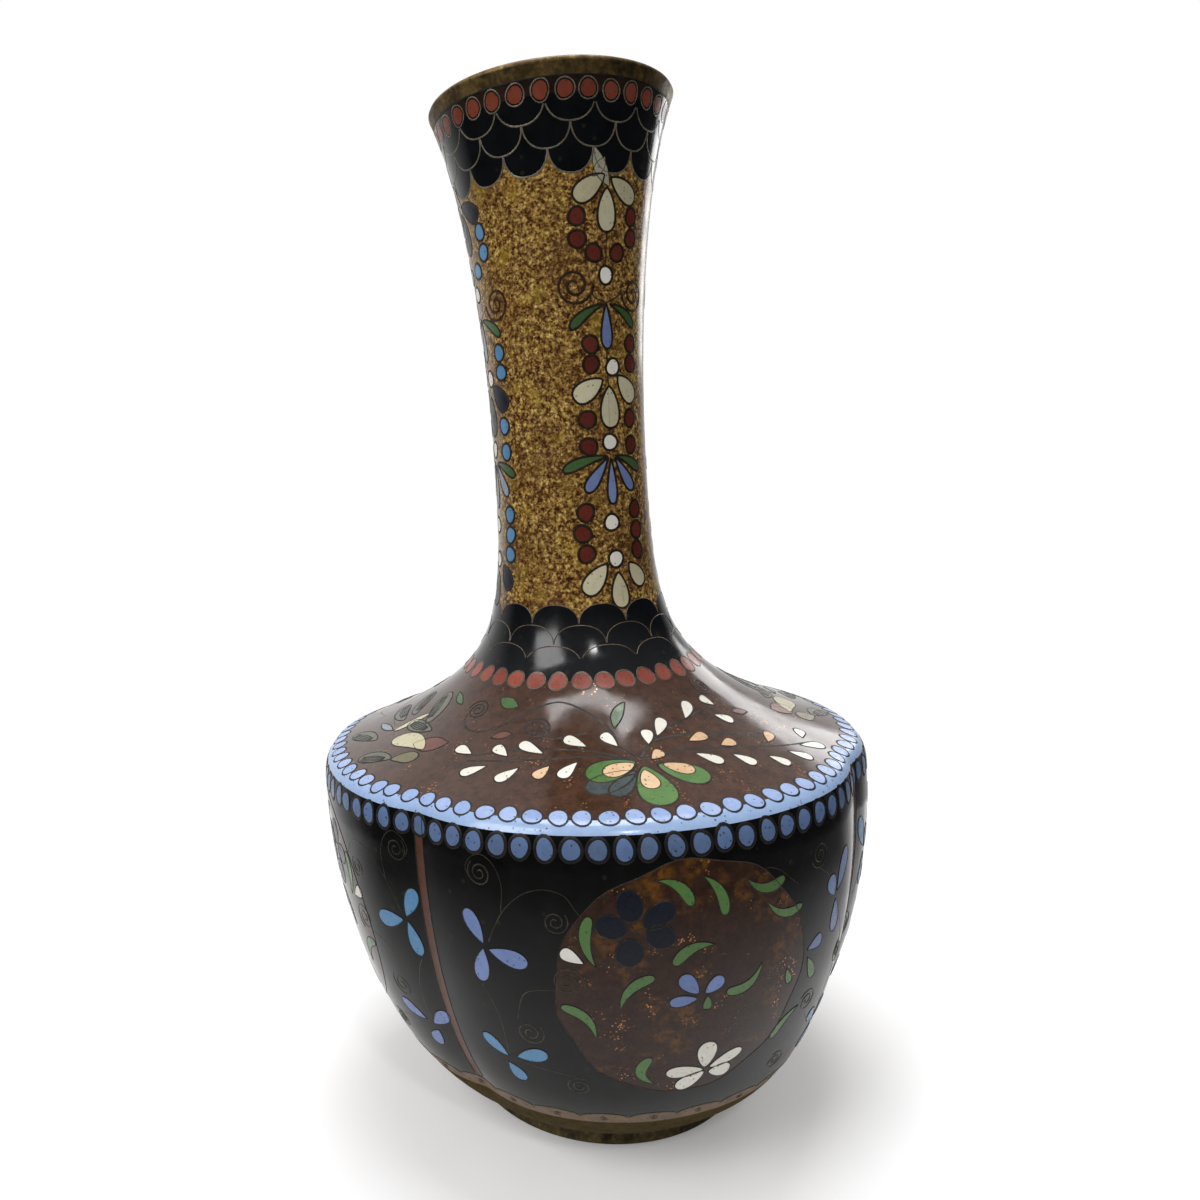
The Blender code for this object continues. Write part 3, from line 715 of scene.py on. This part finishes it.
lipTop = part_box("mouth_ring")[1][2] / mm
mouthRing = {"low": 149.25, "turn": 0.9, "wall": 2.7}
lowSpot = float(spotAt(mouthRing["low"]))
topSpot = float(spotAt(wall["height"] - mouthRing["turn"]))
section = [wallPoint(s, 0.04) for s in np.linspace(lowSpot, topSpot, 8)]
outerEnd = np.array(section[-1])
innerEnd = np.array([outerEnd[0] - mouthRing["wall"] * 0.97, lipTop - mouthRing["turn"]])
for t in np.linspace(0.08, 0.92, 14):  # rounded crown of the lip
    swell = math.sin(math.pi * t) ** 0.45
    section.append([outerEnd[0] + (innerEnd[0] - outerEnd[0]) * t,
                    outerEnd[1] + (lipTop - 0.02 - outerEnd[1]) * swell])
section.append(innerEnd.tolist())
section += [wallPoint(s, mouthRing["wall"]) for s in np.linspace(float(spotAt(150.2)), lowSpot, 4)]
turned(sheet("mouthRing"), section)

footRing = {"outer": 21.08, "inner": 19.02, "waist": 20.72, "seat": 21.56, "top": 4.15}
f = footRing
section = [[f["inner"] + 0.25, 0.02], [f["inner"] + 0.6, 0.0], [f["outer"] - 0.45, 0.0],
           [f["outer"] - 0.18, 0.06], [f["outer"] - 0.03, 0.22], [f["outer"], 0.45],
           [f["outer"] - 0.12, 0.8], [f["waist"], 1.35], [f["waist"] + 0.02, 1.9],
           [f["waist"] + 0.2, 2.4], [f["seat"] - 0.1, 2.75], [f["seat"], 3.0],
           [f["seat"], f["top"]], [f["inner"], f["top"]], [f["inner"], 0.3]]
turned(sheet("footRing"), section)

base = {"radius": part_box("base_enamel")[1][0] / mm, "top": 4.15, "under": 3.31, "rim": 3.45}
section = [[0.2, base["under"]]] + [[base["radius"] * share, base["under"]] for share in (0.35, 0.7)]
section += [[base["radius"] - 0.25, base["under"] + 0.01], [base["radius"], base["rim"]],
            [base["radius"], base["top"]], [0.2, base["top"]]]
turned(sheet("baseEnamel"), section, 96)

lining = {"outer": 2.2, "inner": 2.7, "columns": 160, "neckFrom": 66.6, "bodyTo": 62.0}


def addLining(target, low, high, count, across=False):
    n = lining["columns"]
    s = np.linspace(low, high, count)[:, None]
    outer, inner = (onWall(circle(n)[None], s, lining[side]) for side in ("outer", "inner"))
    faces = gridFaces(2 * count, n, closedRows=not across, closedColumns=True)
    target.add(np.concatenate([outer, inner[::-1]]), faces)
    if across:  # the body's lining goes across the bottom
        target.faces.append(np.arange(n)[::-1][None])
        target.faces.append((np.arange(n) + (2 * count - 1) * n)[None])


addLining(sheet("neckLining"), float(spotAt(lining["neckFrom"])), lowSpot - 0.2, 41)
addLining(sheet("bodyLining"), 0.02, float(spotAt(lining["bodyTo"])), 60, across=True)
print("rings and inside made")


# finishes
class Nodes:  # builds the nodes of one material or of the world
    def __init__(self, tree, coords):
        self.tree = tree
        self.coords = tree.nodes.new("ShaderNodeTexCoord").outputs[coords]

    def node(self, kind, **settings):
        made = self.tree.nodes.new(kind)
        for key, value in settings.items():
            setattr(made, key, value)
        return made

    def link(self, source, target):
        self.tree.links.new(source, target)

    def feed(self, value, socket):
        if isinstance(value, (int, float)):
            socket.default_value = value
        elif isinstance(value, tuple):
            socket.default_value = (*value, 1)
        else:
            self.link(value, socket)

    def split(self, source):
        made = self.node("ShaderNodeSeparateXYZ")
        self.link(source, made.inputs[0])
        return made.outputs

    def math(self, operation, a, b):
        made = self.node("ShaderNodeMath", operation=operation)
        self.feed(a, made.inputs[0])
        self.feed(b, made.inputs[1])
        return made.outputs[0]

    def span(self, source, low, high, newLow=0.0, newHigh=1.0):
        made = self.node("ShaderNodeMapRange")
        for key, value in (("From Min", low), ("From Max", high), ("To Min", newLow), ("To Max", newHigh)):
            made.inputs[key].default_value = value
        self.link(source, made.inputs["Value"])
        return made.outputs["Result"]

    def blend(self, factor, a, b):
        made = self.node("ShaderNodeMix", data_type="FLOAT")
        for value, socket in zip((factor, a, b), (0, 2, 3)):
            self.feed(value, made.inputs[socket])
        return made.outputs[0]


class Finish(Nodes):
    def __init__(self, name):
        self.material = bpy.data.materials.new(name)
        self.material.use_nodes = True
        super().__init__(self.material.node_tree, "Object")
        self.shader = self.tree.nodes["Principled BSDF"]

    def noise(self, size, detail=3.0, roughness=0.55):
        made = self.node("ShaderNodeTexNoise")
        made.inputs["Scale"].default_value = 1 / (size * mm)
        made.inputs["Detail"].default_value = detail
        made.inputs["Roughness"].default_value = roughness
        self.link(self.coords, made.inputs["Vector"])
        return made.outputs["Fac"]

    def grains(self, size):  # distance to the middle of the grain, and a number for each grain
        made = self.node("ShaderNodeTexVoronoi")
        made.inputs["Scale"].default_value = 1 / (size * mm)
        self.link(self.coords, made.inputs["Vector"])
        separate = self.node("ShaderNodeSeparateColor")
        self.link(made.outputs["Color"], separate.inputs["Color"])
        return made.outputs["Distance"], separate.outputs[0]

    def ramp(self, source, stops):
        made = self.node("ShaderNodeValToRGB")
        elements = made.color_ramp.elements
        while len(elements) > 1:
            elements.remove(elements[-1])
        for i, (position, color) in enumerate(stops):
            element = elements[0] if i == 0 else elements.new(position)
            element.position = position
            element.color = (*color, 1)
        self.link(source, made.inputs["Fac"])
        return made.outputs["Color"]

    def mix(self, factor, a, b):
        made = self.node("ShaderNodeMix", data_type="RGBA")
        for value, socket in zip((factor, a, b), (0, 6, 7)):
            self.feed(value, made.inputs[socket])
        return made.outputs[2]

    def bump(self, height, strength, distance, under=None):
        made = self.node("ShaderNodeBump")
        made.inputs["Strength"].default_value = strength
        made.inputs["Distance"].default_value = distance * mm
        self.link(height, made.inputs["Height"])
        if under is not None:
            self.link(under, made.inputs["Normal"])
        self.link(made.outputs["Normal"], self.shader.inputs["Normal"])
        return made.outputs["Normal"]

    def tone(self):
        return self.node("ShaderNodeAttribute", attribute_name="tone").outputs["Fac"]

    def pits(self, size, share):  # 1 in small scattered pits
        distance, number = self.grains(size)
        return self.math("MULTIPLY", self.span(distance, 0.16, 0.24, 1.0, 0.0),
                         self.math("LESS_THAN", number, share))

    def done(self, roughness=None, metallic=None, ior=None):
        for key, value in (("Roughness", roughness), ("Metallic", metallic), ("IOR", ior)):
            if value is not None:
                self.shader.inputs[key].default_value = value
        return self.material


def goldstone():
    m = Finish("teaGoldEnamel")
    grain = m.grains(0.30)[1]
    blots = m.span(m.noise(0.75, 5, 0.75), 0.34, 0.66)
    value = m.math("ADD", m.math("MULTIPLY", grain, 0.36), m.math("MULTIPLY", blots, 0.64))
    color = m.ramp(value, [(0.08, (0.020, 0.006, 0.002)), (0.30, (0.060, 0.021, 0.005)),
                           (0.44, (0.15, 0.070, 0.017)), (0.60, (0.31, 0.18, 0.045)),
                           (0.76, (0.50, 0.33, 0.085)), (0.92, (0.80, 0.60, 0.20))])
    color = m.mix(m.span(m.noise(7.0, 2), 0.42, 0.72, 0.0, 0.45), color, (0.085, 0.030, 0.008))
    color = m.mix(m.span(m.noise(4.0, 2), 0.56, 0.75, 0.0, 0.4), color, (0.38, 0.25, 0.02))
    m.link(color, m.shader.inputs["Base Color"])
    m.link(m.span(m.noise(3.0), 0.3, 0.7, 0.14, 0.30), m.shader.inputs["Roughness"])
    first = m.bump(m.noise(4.0, 2), 0.25, 0.12)
    m.bump(m.pits(0.9, 0.25), -0.5, 0.06, first)
    return m.done()


def sparkleBrown(name, base, light, amber=0.0, ior=1.45):
    m = Finish(name)
    color = m.ramp(m.noise(1.6, 5, 0.7), [(0.3, base), (0.7, light)])
    fine = m.grains(0.22)[1]
    color = m.mix(m.math("MULTIPLY", m.span(fine, 0.5, 1.0), 0.4), color, light)
    if amber:
        upper = m.span(m.split(m.coords)["Z"], 36 * mm, 46 * mm, 0.0, 0.13)  # more amber higher up
        patch = m.span(m.math("ADD", m.noise(6.0, 4, 0.6), upper), 0.58, 0.70)
        patch = m.math("MULTIPLY", patch, m.span(m.noise(1.1, 3), 0.40, 0.62))
        color = m.mix(m.math("MULTIPLY", patch, amber), color, (0.16, 0.065, 0.008))
    cluster = m.span(m.noise(3.6, 2), 0.56, 0.74)
    glint = m.math("MULTIPLY", m.math("GREATER_THAN", m.grains(0.17)[1], 0.94), cluster)
    color = m.mix(glint, color, (0.80, 0.33, 0.12))
    m.link(color, m.shader.inputs["Base Color"])
    m.link(m.math("MULTIPLY", glint, 0.6), m.shader.inputs["Metallic"])
    m.link(m.span(m.noise(4.0), 0.3, 0.7, 0.08, 0.2), m.shader.inputs["Roughness"])
    first = m.bump(m.noise(5.0, 2), 0.25, 0.12)
    m.bump(m.pits(1.0, 0.3), -0.6, 0.06, first)
    return m.done(ior=ior)


def blackGlass(name, base, ior=1.42):
    m = Finish(name)
    color = m.ramp(m.noise(3.0, 4), [(0.3, base), (0.75, tuple(c * 1.9 + 0.001 for c in base))])
    pits = m.pits(1.7, 0.2)
    color = m.mix(m.math("MULTIPLY", pits, 0.7), color, (0.020, 0.017, 0.012))
    m.link(color, m.shader.inputs["Base Color"])
    m.link(m.span(m.noise(2.2, 5, 0.7), 0.3, 0.75, 0.07, 0.24), m.shader.inputs["Roughness"])
    first = m.bump(m.noise(6.0, 2), 0.3, 0.12)
    m.bump(pits, -0.8, 0.1, first)
    return m.done(ior=ior)


def enamel(name, dark, light, pitColor=(0.03, 0.018, 0.01), share=0.35, roughness=0.3, ior=1.5):
    m = Finish(name)
    color = m.mix(m.tone(), dark, light)
    color = m.mix(m.span(m.noise(0.8, 4, 0.7), 0.3, 0.75, 0.0, 0.55), color, light)
    edge = m.span(m.noise(1.7, 3), 0.42, 0.7, 0.0, 0.4)
    color = m.mix(edge, color, dark)
    pits = m.pits(0.62, share)
    color = m.mix(m.math("MULTIPLY", pits, 0.85), color, pitColor)
    m.link(color, m.shader.inputs["Base Color"])
    m.link(m.span(m.noise(1.5, 3), 0.3, 0.7, roughness - 0.1, roughness + 0.1),
           m.shader.inputs["Roughness"])
    first = m.bump(m.noise(1.8, 3), 0.3, 0.08)
    m.bump(pits, -0.6, 0.08, first)
    return m.done(ior=ior)


# copper shows where the lip is rubbed: heights in mm
lipRub = {"from": 150.8, "to": 151.8, "color": (0.17, 0.055, 0.026)}


def metal(name, dark, mid, light, size, roughness=(0.32, 0.55), metallic=0.9, rub=None):
    m = Finish(name)
    value = m.math("ADD", m.math("MULTIPLY", m.noise(size, 6, 0.7), 0.7),
                   m.math("MULTIPLY", m.noise(size * 0.22, 4), 0.3))
    color = m.ramp(value, [(0.34, dark), (0.5, mid), (0.66, light)])
    if rub:
        high = m.span(m.split(m.coords)["Z"], rub["from"] * mm, rub["to"] * mm, 0.0, 0.3)
        worn = m.span(m.math("ADD", high, m.noise(5.0, 5, 0.7)), 0.72, 0.95, 0.0, 0.9)
        color = m.mix(worn, color, rub["color"])
    m.link(color, m.shader.inputs["Base Color"])
    m.link(m.span(m.noise(size * 0.6, 4), 0.3, 0.7, roughness[1], roughness[0]),
           m.shader.inputs["Roughness"])
    m.bump(m.noise(size * 0.15, 4, 0.7), 0.35, 0.05)
    return m.done(metallic=metallic)


# material, dark, light, then the pits' colour and share, the roughness and the refraction
enamels = {
    "red": ("brickRedEnamel", (0.13, 0.022, 0.011), (0.22, 0.045, 0.022), (0.06, 0.014, 0.009), 0.3),
    "rootRed": ("rootRedEnamel", (0.19, 0.032, 0.018), (0.30, 0.068, 0.042), (0.09, 0.025, 0.015), 0.35),
    "darkRed": ("darkRedEnamel", (0.085, 0.011, 0.006), (0.14, 0.020, 0.010), (0.03, 0.008, 0.005), 0.3),
    "cream": ("creamEnamel", (0.42, 0.38, 0.23), (0.60, 0.56, 0.38), (0.14, 0.09, 0.05), 0.25),
    "white": ("whiteEnamel", (0.70, 0.67, 0.57), (0.84, 0.82, 0.75), (0.10, 0.07, 0.05), 0.4),
    "green": ("greenEnamel", (0.030, 0.075, 0.022), (0.065, 0.14, 0.042)),
    "leafGreen": ("leafGreenEnamel", (0.050, 0.13, 0.030), (0.10, 0.22, 0.050), (0.02, 0.04, 0.014), 0.4),
    "wingGreen": ("wingEnamel", (0.06, 0.062, 0.045), (0.13, 0.135, 0.095), (0.03, 0.03, 0.02), 0.4),
    "olive": ("oliveEnamel", (0.13, 0.11, 0.055), (0.20, 0.17, 0.09), (0.03, 0.03, 0.02), 0.4),
    "skyBlue": ("skyBlueEnamel", (0.060, 0.19, 0.36), (0.11, 0.28, 0.50), (0.02, 0.04, 0.07), 0.3),
    "lightBlue": ("lightBlueEnamel", (0.11, 0.17, 0.38), (0.18, 0.26, 0.52), (0.04, 0.05, 0.09), 0.25),
    "periwinkle": ("periwinkleEnamel", (0.12, 0.17, 0.36), (0.20, 0.26, 0.48), (0.05, 0.05, 0.1), 0.2),
    "greyBlue": ("greyBlueEnamel", (0.16, 0.20, 0.25), (0.27, 0.31, 0.36)),
    "navy": ("navyEnamel", (0.004, 0.006, 0.013), (0.009, 0.013, 0.027), (0.004, 0.004, 0.006), 0.4, 0.3,
             1.34),
    "edgeBlue": ("edgeBlueEnamel", (0.22, 0.34, 0.58), (0.36, 0.48, 0.70), (0.05, 0.045, 0.04), 0.4, 0.2),
    "beadBlue": ("beadBlueEnamel", (0.22, 0.32, 0.58), (0.36, 0.46, 0.70), (0.08, 0.07, 0.07), 0.35),
    # painted shade: the lower edge beads get the upper beads' blue, darkened as if facing down in shade
    "shadedLowBeadBlue": ("shadedLowBeadBlueEnamel", (0.085, 0.13, 0.22), (0.12, 0.20, 0.40), (0.03, 0.03, 0.03), 0.45),
    "peach": ("peachEnamel", (0.58, 0.36, 0.19), (0.78, 0.56, 0.34), (0.12, 0.05, 0.02), 0.8),
    "slate": ("slateEnamel", (0.030, 0.042, 0.046), (0.055, 0.072, 0.076)),
    "rustRed": ("rustEnamel", (0.10, 0.030, 0.022), (0.17, 0.060, 0.042)),
    "stripeRed": ("stripeEnamel", (0.070, 0.022, 0.011), (0.11, 0.040, 0.022), (0.02, 0.01, 0.006), 0.45,
                  0.36),
    "tan": ("tanEnamel", (0.10, 0.064, 0.040), (0.27, 0.195, 0.135), (0.04, 0.022, 0.013), 0.7, 0.5, 1.2),
    # brass-brown like the foot ring, darkened with painted shade where the belly turns under
    "footBrassAndShade": ("footBrassAndShade", (0.026, 0.018, 0.006), (0.105, 0.075, 0.029), (0.010, 0.007, 0.004), 0.5,
                  0.6, 1.06),
    "stemGrey": ("stemGreyEnamel", (0.24, 0.23, 0.16), (0.42, 0.40, 0.30), (0.05, 0.04, 0.03), 0.3),
    "counter": ("counterEnamel", (0.020, 0.030, 0.034), (0.045, 0.062, 0.066), (0.01, 0.01, 0.01), 0.5,
                0.35),
}
# material, dark, middle, light, size of the stains in mm, then the roughness and how metallic it is
metals = {
    "mouthBrass": ("mouthBrass", (0.016, 0.015, 0.007), (0.105, 0.066, 0.022), (0.27, 0.18, 0.058), 3.4,
                   (0.4, 0.65), 0.7, lipRub),
    "footBrass": ("footBrass", (0.014, 0.011, 0.006), (0.085, 0.062, 0.026), (0.20, 0.15, 0.060), 2.6,
                  (0.4, 0.65), 0.7),
    "wireLight": ("wireLight", (0.10, 0.085, 0.06), (0.20, 0.17, 0.12), (0.36, 0.32, 0.24), 2.0,
                  (0.3, 0.5), 0.5),
    "wireRoot": ("wireRoot", (0.045, 0.032, 0.024), (0.11, 0.080, 0.060), (0.22, 0.17, 0.13), 2.0,
                 (0.3, 0.5), 0.5),
    "wireNeck": ("wireNeck", (0.022, 0.010, 0.005), (0.050, 0.025, 0.011), (0.10, 0.055, 0.024), 1.5,
                 (0.35, 0.55), 0.5),
    "wireDark": ("wireDark", (0.010, 0.006, 0.003), (0.026, 0.015, 0.007), (0.060, 0.038, 0.018), 1.5,
                 (0.35, 0.6), 0.4),
    "wireField": ("wireField", (0.009, 0.007, 0.005), (0.020, 0.015, 0.011), (0.050, 0.036, 0.024), 2.0,
                  (0.35, 0.6), 0.5),
    "wireVine": ("wireVine", (0.003, 0.003, 0.002), (0.008, 0.007, 0.006), (0.060, 0.050, 0.038), 2.0,
                 (0.4, 0.6), 0.2),
    "wireEdge": ("wireEdge", (0.005, 0.005, 0.005), (0.012, 0.010, 0.010), (0.030, 0.022, 0.016), 1.5,
                 (0.4, 0.6), 0.3),
    "wireBody": ("wireBody", (0.018, 0.016, 0.012), (0.050, 0.044, 0.030), (0.11, 0.094, 0.062), 2.0,
                 (0.3, 0.5), 0.6),
    "copper": ("spunCopper", (0.20, 0.07, 0.03), (0.42, 0.17, 0.08), (0.60, 0.28, 0.15), 6.0),
}
finishes = {
    "goldstone": goldstone(),
    "shoulderBrown": sparkleBrown("brownSparkleEnamel", (0.028, 0.013, 0.008), (0.085, 0.040, 0.024)),
    "roundelBrown": sparkleBrown("roundelEnamel", (0.017, 0.008, 0.005), (0.044, 0.019, 0.011), 0.85, 1.33),
    "black": blackGlass("blackEnamel", (0.0022, 0.0026, 0.0022), 1.3),
    "scaleBlack": blackGlass("scaleEnamel", (0.0022, 0.0026, 0.0034)),
    "redGround": blackGlass("ringGround", (0.013, 0.007, 0.005)),
}
finishes.update({name: enamel(*row) for name, row in enamels.items()})
finishes.update({name: metal(*row) for name, row in metals.items()})

pieces = {
    "neckField": ("goldstone", "tea_gold_enamel", ["neck_field"]),
    "mouthScales": ("scaleBlack", "black_enamel", ["mouth_scale_band"]),
    "rootScales": ("scaleBlack", "black_enamel", ["root_scale_band"]),
    "mouthBeadGround": ("redGround", "brick_red_enamel", ["mouth_bead_band"]),
    "redBeads": ("red", "brick_red_enamel", []),
    "rootBeads": ("rootRed", "brick_red_enamel", ["root_bead_band"]),
    "shoulderField": ("shoulderBrown", "brown_sparkle_enamel", ["shoulder_field"]),
    "edgeBand": ("edgeBlue", "light_blue_enamel", ["edge_band"]),
    "upperBeads": ("beadBlue", "light_blue_enamel", ["edge_upper_beads"]),
    "lowerBeads": ("shadedLowBeadBlue", "light_blue_enamel", ["edge_lower_beads"]),
    "footBorder": ("tan", "tan_enamel", ["foot_border"]),
    "footGround": ("black", "black_enamel", []),
    "footShade": ("footBrassAndShade", "tan_enamel", []),
    "stemGrey": ("stemGrey", "light_blue_enamel", []),
    "mouthRing": ("mouthBrass", "brass_worn", ["mouth_ring"]),
    "footRing": ("footBrass", "brass_worn", ["foot_ring"]),
    "baseEnamel": ("counter", "counter_enamel", ["base_enamel"]),
    "neckLining": ("counter", "counter_enamel", ["neck_lining"]),
    "bodyLining": ("counter", "counter_enamel", ["body_lining"]),
    "wireLight": ("wireLight", "cloison_wire", ["collar_wire"]),
    "wireRoot": ("wireRoot", "cloison_wire", ["root_wire", "shoulder_wire"]),
    "wireEdge": ("wireEdge", "cloison_wire", ["mouth_wire"]),
    "wireBody": ("wireBody", "cloison_wire", ["foot_wire"]),
}
for side in sides:
    pieces["panel_" + side] = ("black", "black_enamel", ["panel_" + side])
    pieces["roundel_" + side] = ("roundelBrown", "brown_sparkle_enamel", ["roundel_" + side])
    pieces["stripe_" + side] = ("stripeRed", "rust_enamel", ["stripe_" + side])
for name, source in sheets.items():
    usual = "cloison_wire" if name.startswith("wire") else "light_blue_enamel"
    finish, slot, nodes = pieces.get(name, (name, usual, []))
    title = name[0].upper() + name[1:]
    makePiece("vase" + title, source, finishes[finish], nodes)
for name in ("copper_body", "copper_neck"):
    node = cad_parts[name]
    node.data.materials.clear()
    node.data.materials.append(finishes["copper"])
print("finishes made, points:", sum(s.count for s in sheets.values()))

# floor, light and camera
studio = {
    "floorRadius": 0.135, "floorColor": (0.88, 0.87, 0.87), "fadeFrom": 0.045, "fadeTo": 0.112,
    "floorGlow": 0.17, "floorMirror": 0.12, "floorDrop": 0.0002, "backdrop": 0.9, "fill": 0.36,
    "mirrorLow": 0.03, "mirrorHigh": 0.42, "aim": (0, 0, 0.07),
    "lights": [
        {"name": "keyLeft", "at": (-0.50, -0.30, 0.55), "size": 0.36, "power": 2.9},
        {"name": "sideRight", "at": (0.46, 0.34, 0.24), "size": 0.18, "power": 0.35},
        {"name": "overhead", "at": (0.05, 0.05, 0.80), "size": 0.4, "power": 4.2},
        {"name": "frontWindow", "at": (0.02, -0.75, 0.75), "size": 0.085, "power": 1.2},
    ],
}
floorMesh = bpy.data.meshes.new("floor")
reach = studio["floorRadius"]
rim = [(reach * math.cos(a), reach * math.sin(a), -studio["floorDrop"]) for a in circle(96)]
floorMesh.from_pydata(rim, [], [list(range(96))])
floor = bpy.data.objects.new("floor", floorMesh)
bpy.context.scene.collection.objects.link(floor)
paper = Finish("floorPaper")
away = paper.node("ShaderNodeVectorMath", operation="LENGTH")
paper.link(paper.coords, away.inputs[0])
faded = paper.span(away.outputs["Value"], studio["fadeFrom"], studio["fadeTo"])
grey = studio["floorColor"]
sheetColor = paper.ramp(paper.noise(9.0, 4), [(0.3, grey), (0.7, tuple(min(c * 1.03, 1) for c in grey))])
paper.link(paper.mix(faded, sheetColor, (0.0, 0.0, 0.0)), paper.shader.inputs["Base Color"])
paper.shader.inputs["Emission Color"].default_value = (1, 1, 1, 1)
glow = paper.span(faded, 0.0, 1.0, studio["floorGlow"], 1.0)
seen = paper.node("ShaderNodeLightPath").outputs["Is Camera Ray"]
mirrored = paper.span(paper.split(paper.coords)["Y"], 0.0, 0.05, studio["floorMirror"], 1.0)
paper.link(paper.math("MULTIPLY", glow, paper.math("MAXIMUM", seen, mirrored)),
           paper.shader.inputs["Emission Strength"])
floorMesh.materials.append(paper.done(roughness=0.8))

world = bpy.data.worlds.new("studio")
world.use_nodes = True
bpy.context.scene.world = world
sky = Nodes(world.node_tree, "Generated")
background = sky.tree.nodes["Background"]
background.inputs["Color"].default_value = (1, 1, 1, 1)
rays = sky.node("ShaderNodeLightPath").outputs
toward = sky.split(sky.coords)
ceiling = sky.span(toward["Z"], 0.2, 0.85, studio["mirrorLow"], studio["mirrorHigh"])
# a pale card behind the vase, seen along its edges
card = sky.span(toward["Y"], 0.35, 0.9, 0.0, studio["backdrop"])
strength = sky.blend(rays["Is Glossy Ray"], studio["fill"], sky.math("ADD", ceiling, card))
sky.link(sky.blend(rays["Is Camera Ray"], strength, 1.0), background.inputs["Strength"])
for lamp in studio["lights"]:
    data = bpy.data.lights.new(lamp["name"], "AREA")
    data.shape = "RECTANGLE"
    data.size = data.size_y = lamp["size"]
    data.energy = lamp["power"]
    thing = bpy.data.objects.new(lamp["name"], data)
    thing.location = lamp["at"]
    aim = Vector(studio["aim"]) - Vector(lamp["at"])
    thing.rotation_euler = aim.to_track_quat("-Z", "Y").to_euler()
    bpy.context.scene.collection.objects.link(thing)

# the view is close, from a little above the edge, with a slight roll
view = {"side": -15.7, "distance": 0.1508, "height": 0.0950, "yaw": -7.54, "pitch": -0.33, "roll": -3.40,
        "lens": 27.95, "sensor": 36.0, "shiftX": 0.1277, "shiftY": -0.105}
yaw, pitch, roll = (math.radians(view[key]) for key in ("yaw", "pitch", "roll"))
ahead = Vector((math.sin(yaw) * math.cos(pitch), math.cos(yaw) * math.cos(pitch), math.sin(pitch)))
right = Vector((math.cos(yaw), -math.sin(yaw), 0.0))
upward = right.cross(ahead)
rightRolled = right * math.cos(roll) + upward * math.sin(roll)
upRolled = upward * math.cos(roll) - right * math.sin(roll)
turn = Matrix.Rotation(math.radians(view["side"]), 4, "Z")
pose = Matrix((rightRolled, upRolled, -ahead)).transposed().to_4x4()
pose.translation = Vector((0, -view["distance"], view["height"]))
cameraData = bpy.data.cameras.new("camera")
cameraData.lens = view["lens"]
cameraData.sensor_width = view["sensor"]
cameraData.shift_x = view["shiftX"]
cameraData.shift_y = view["shiftY"]
cameraData.clip_start = 0.01
camera = bpy.data.objects.new("camera", cameraData)
camera.matrix_world = turn @ pose
bpy.context.scene.collection.objects.link(camera)
bpy.context.scene.camera = camera
bpy.context.scene.view_settings.view_transform = "Standard"
print("studio made")
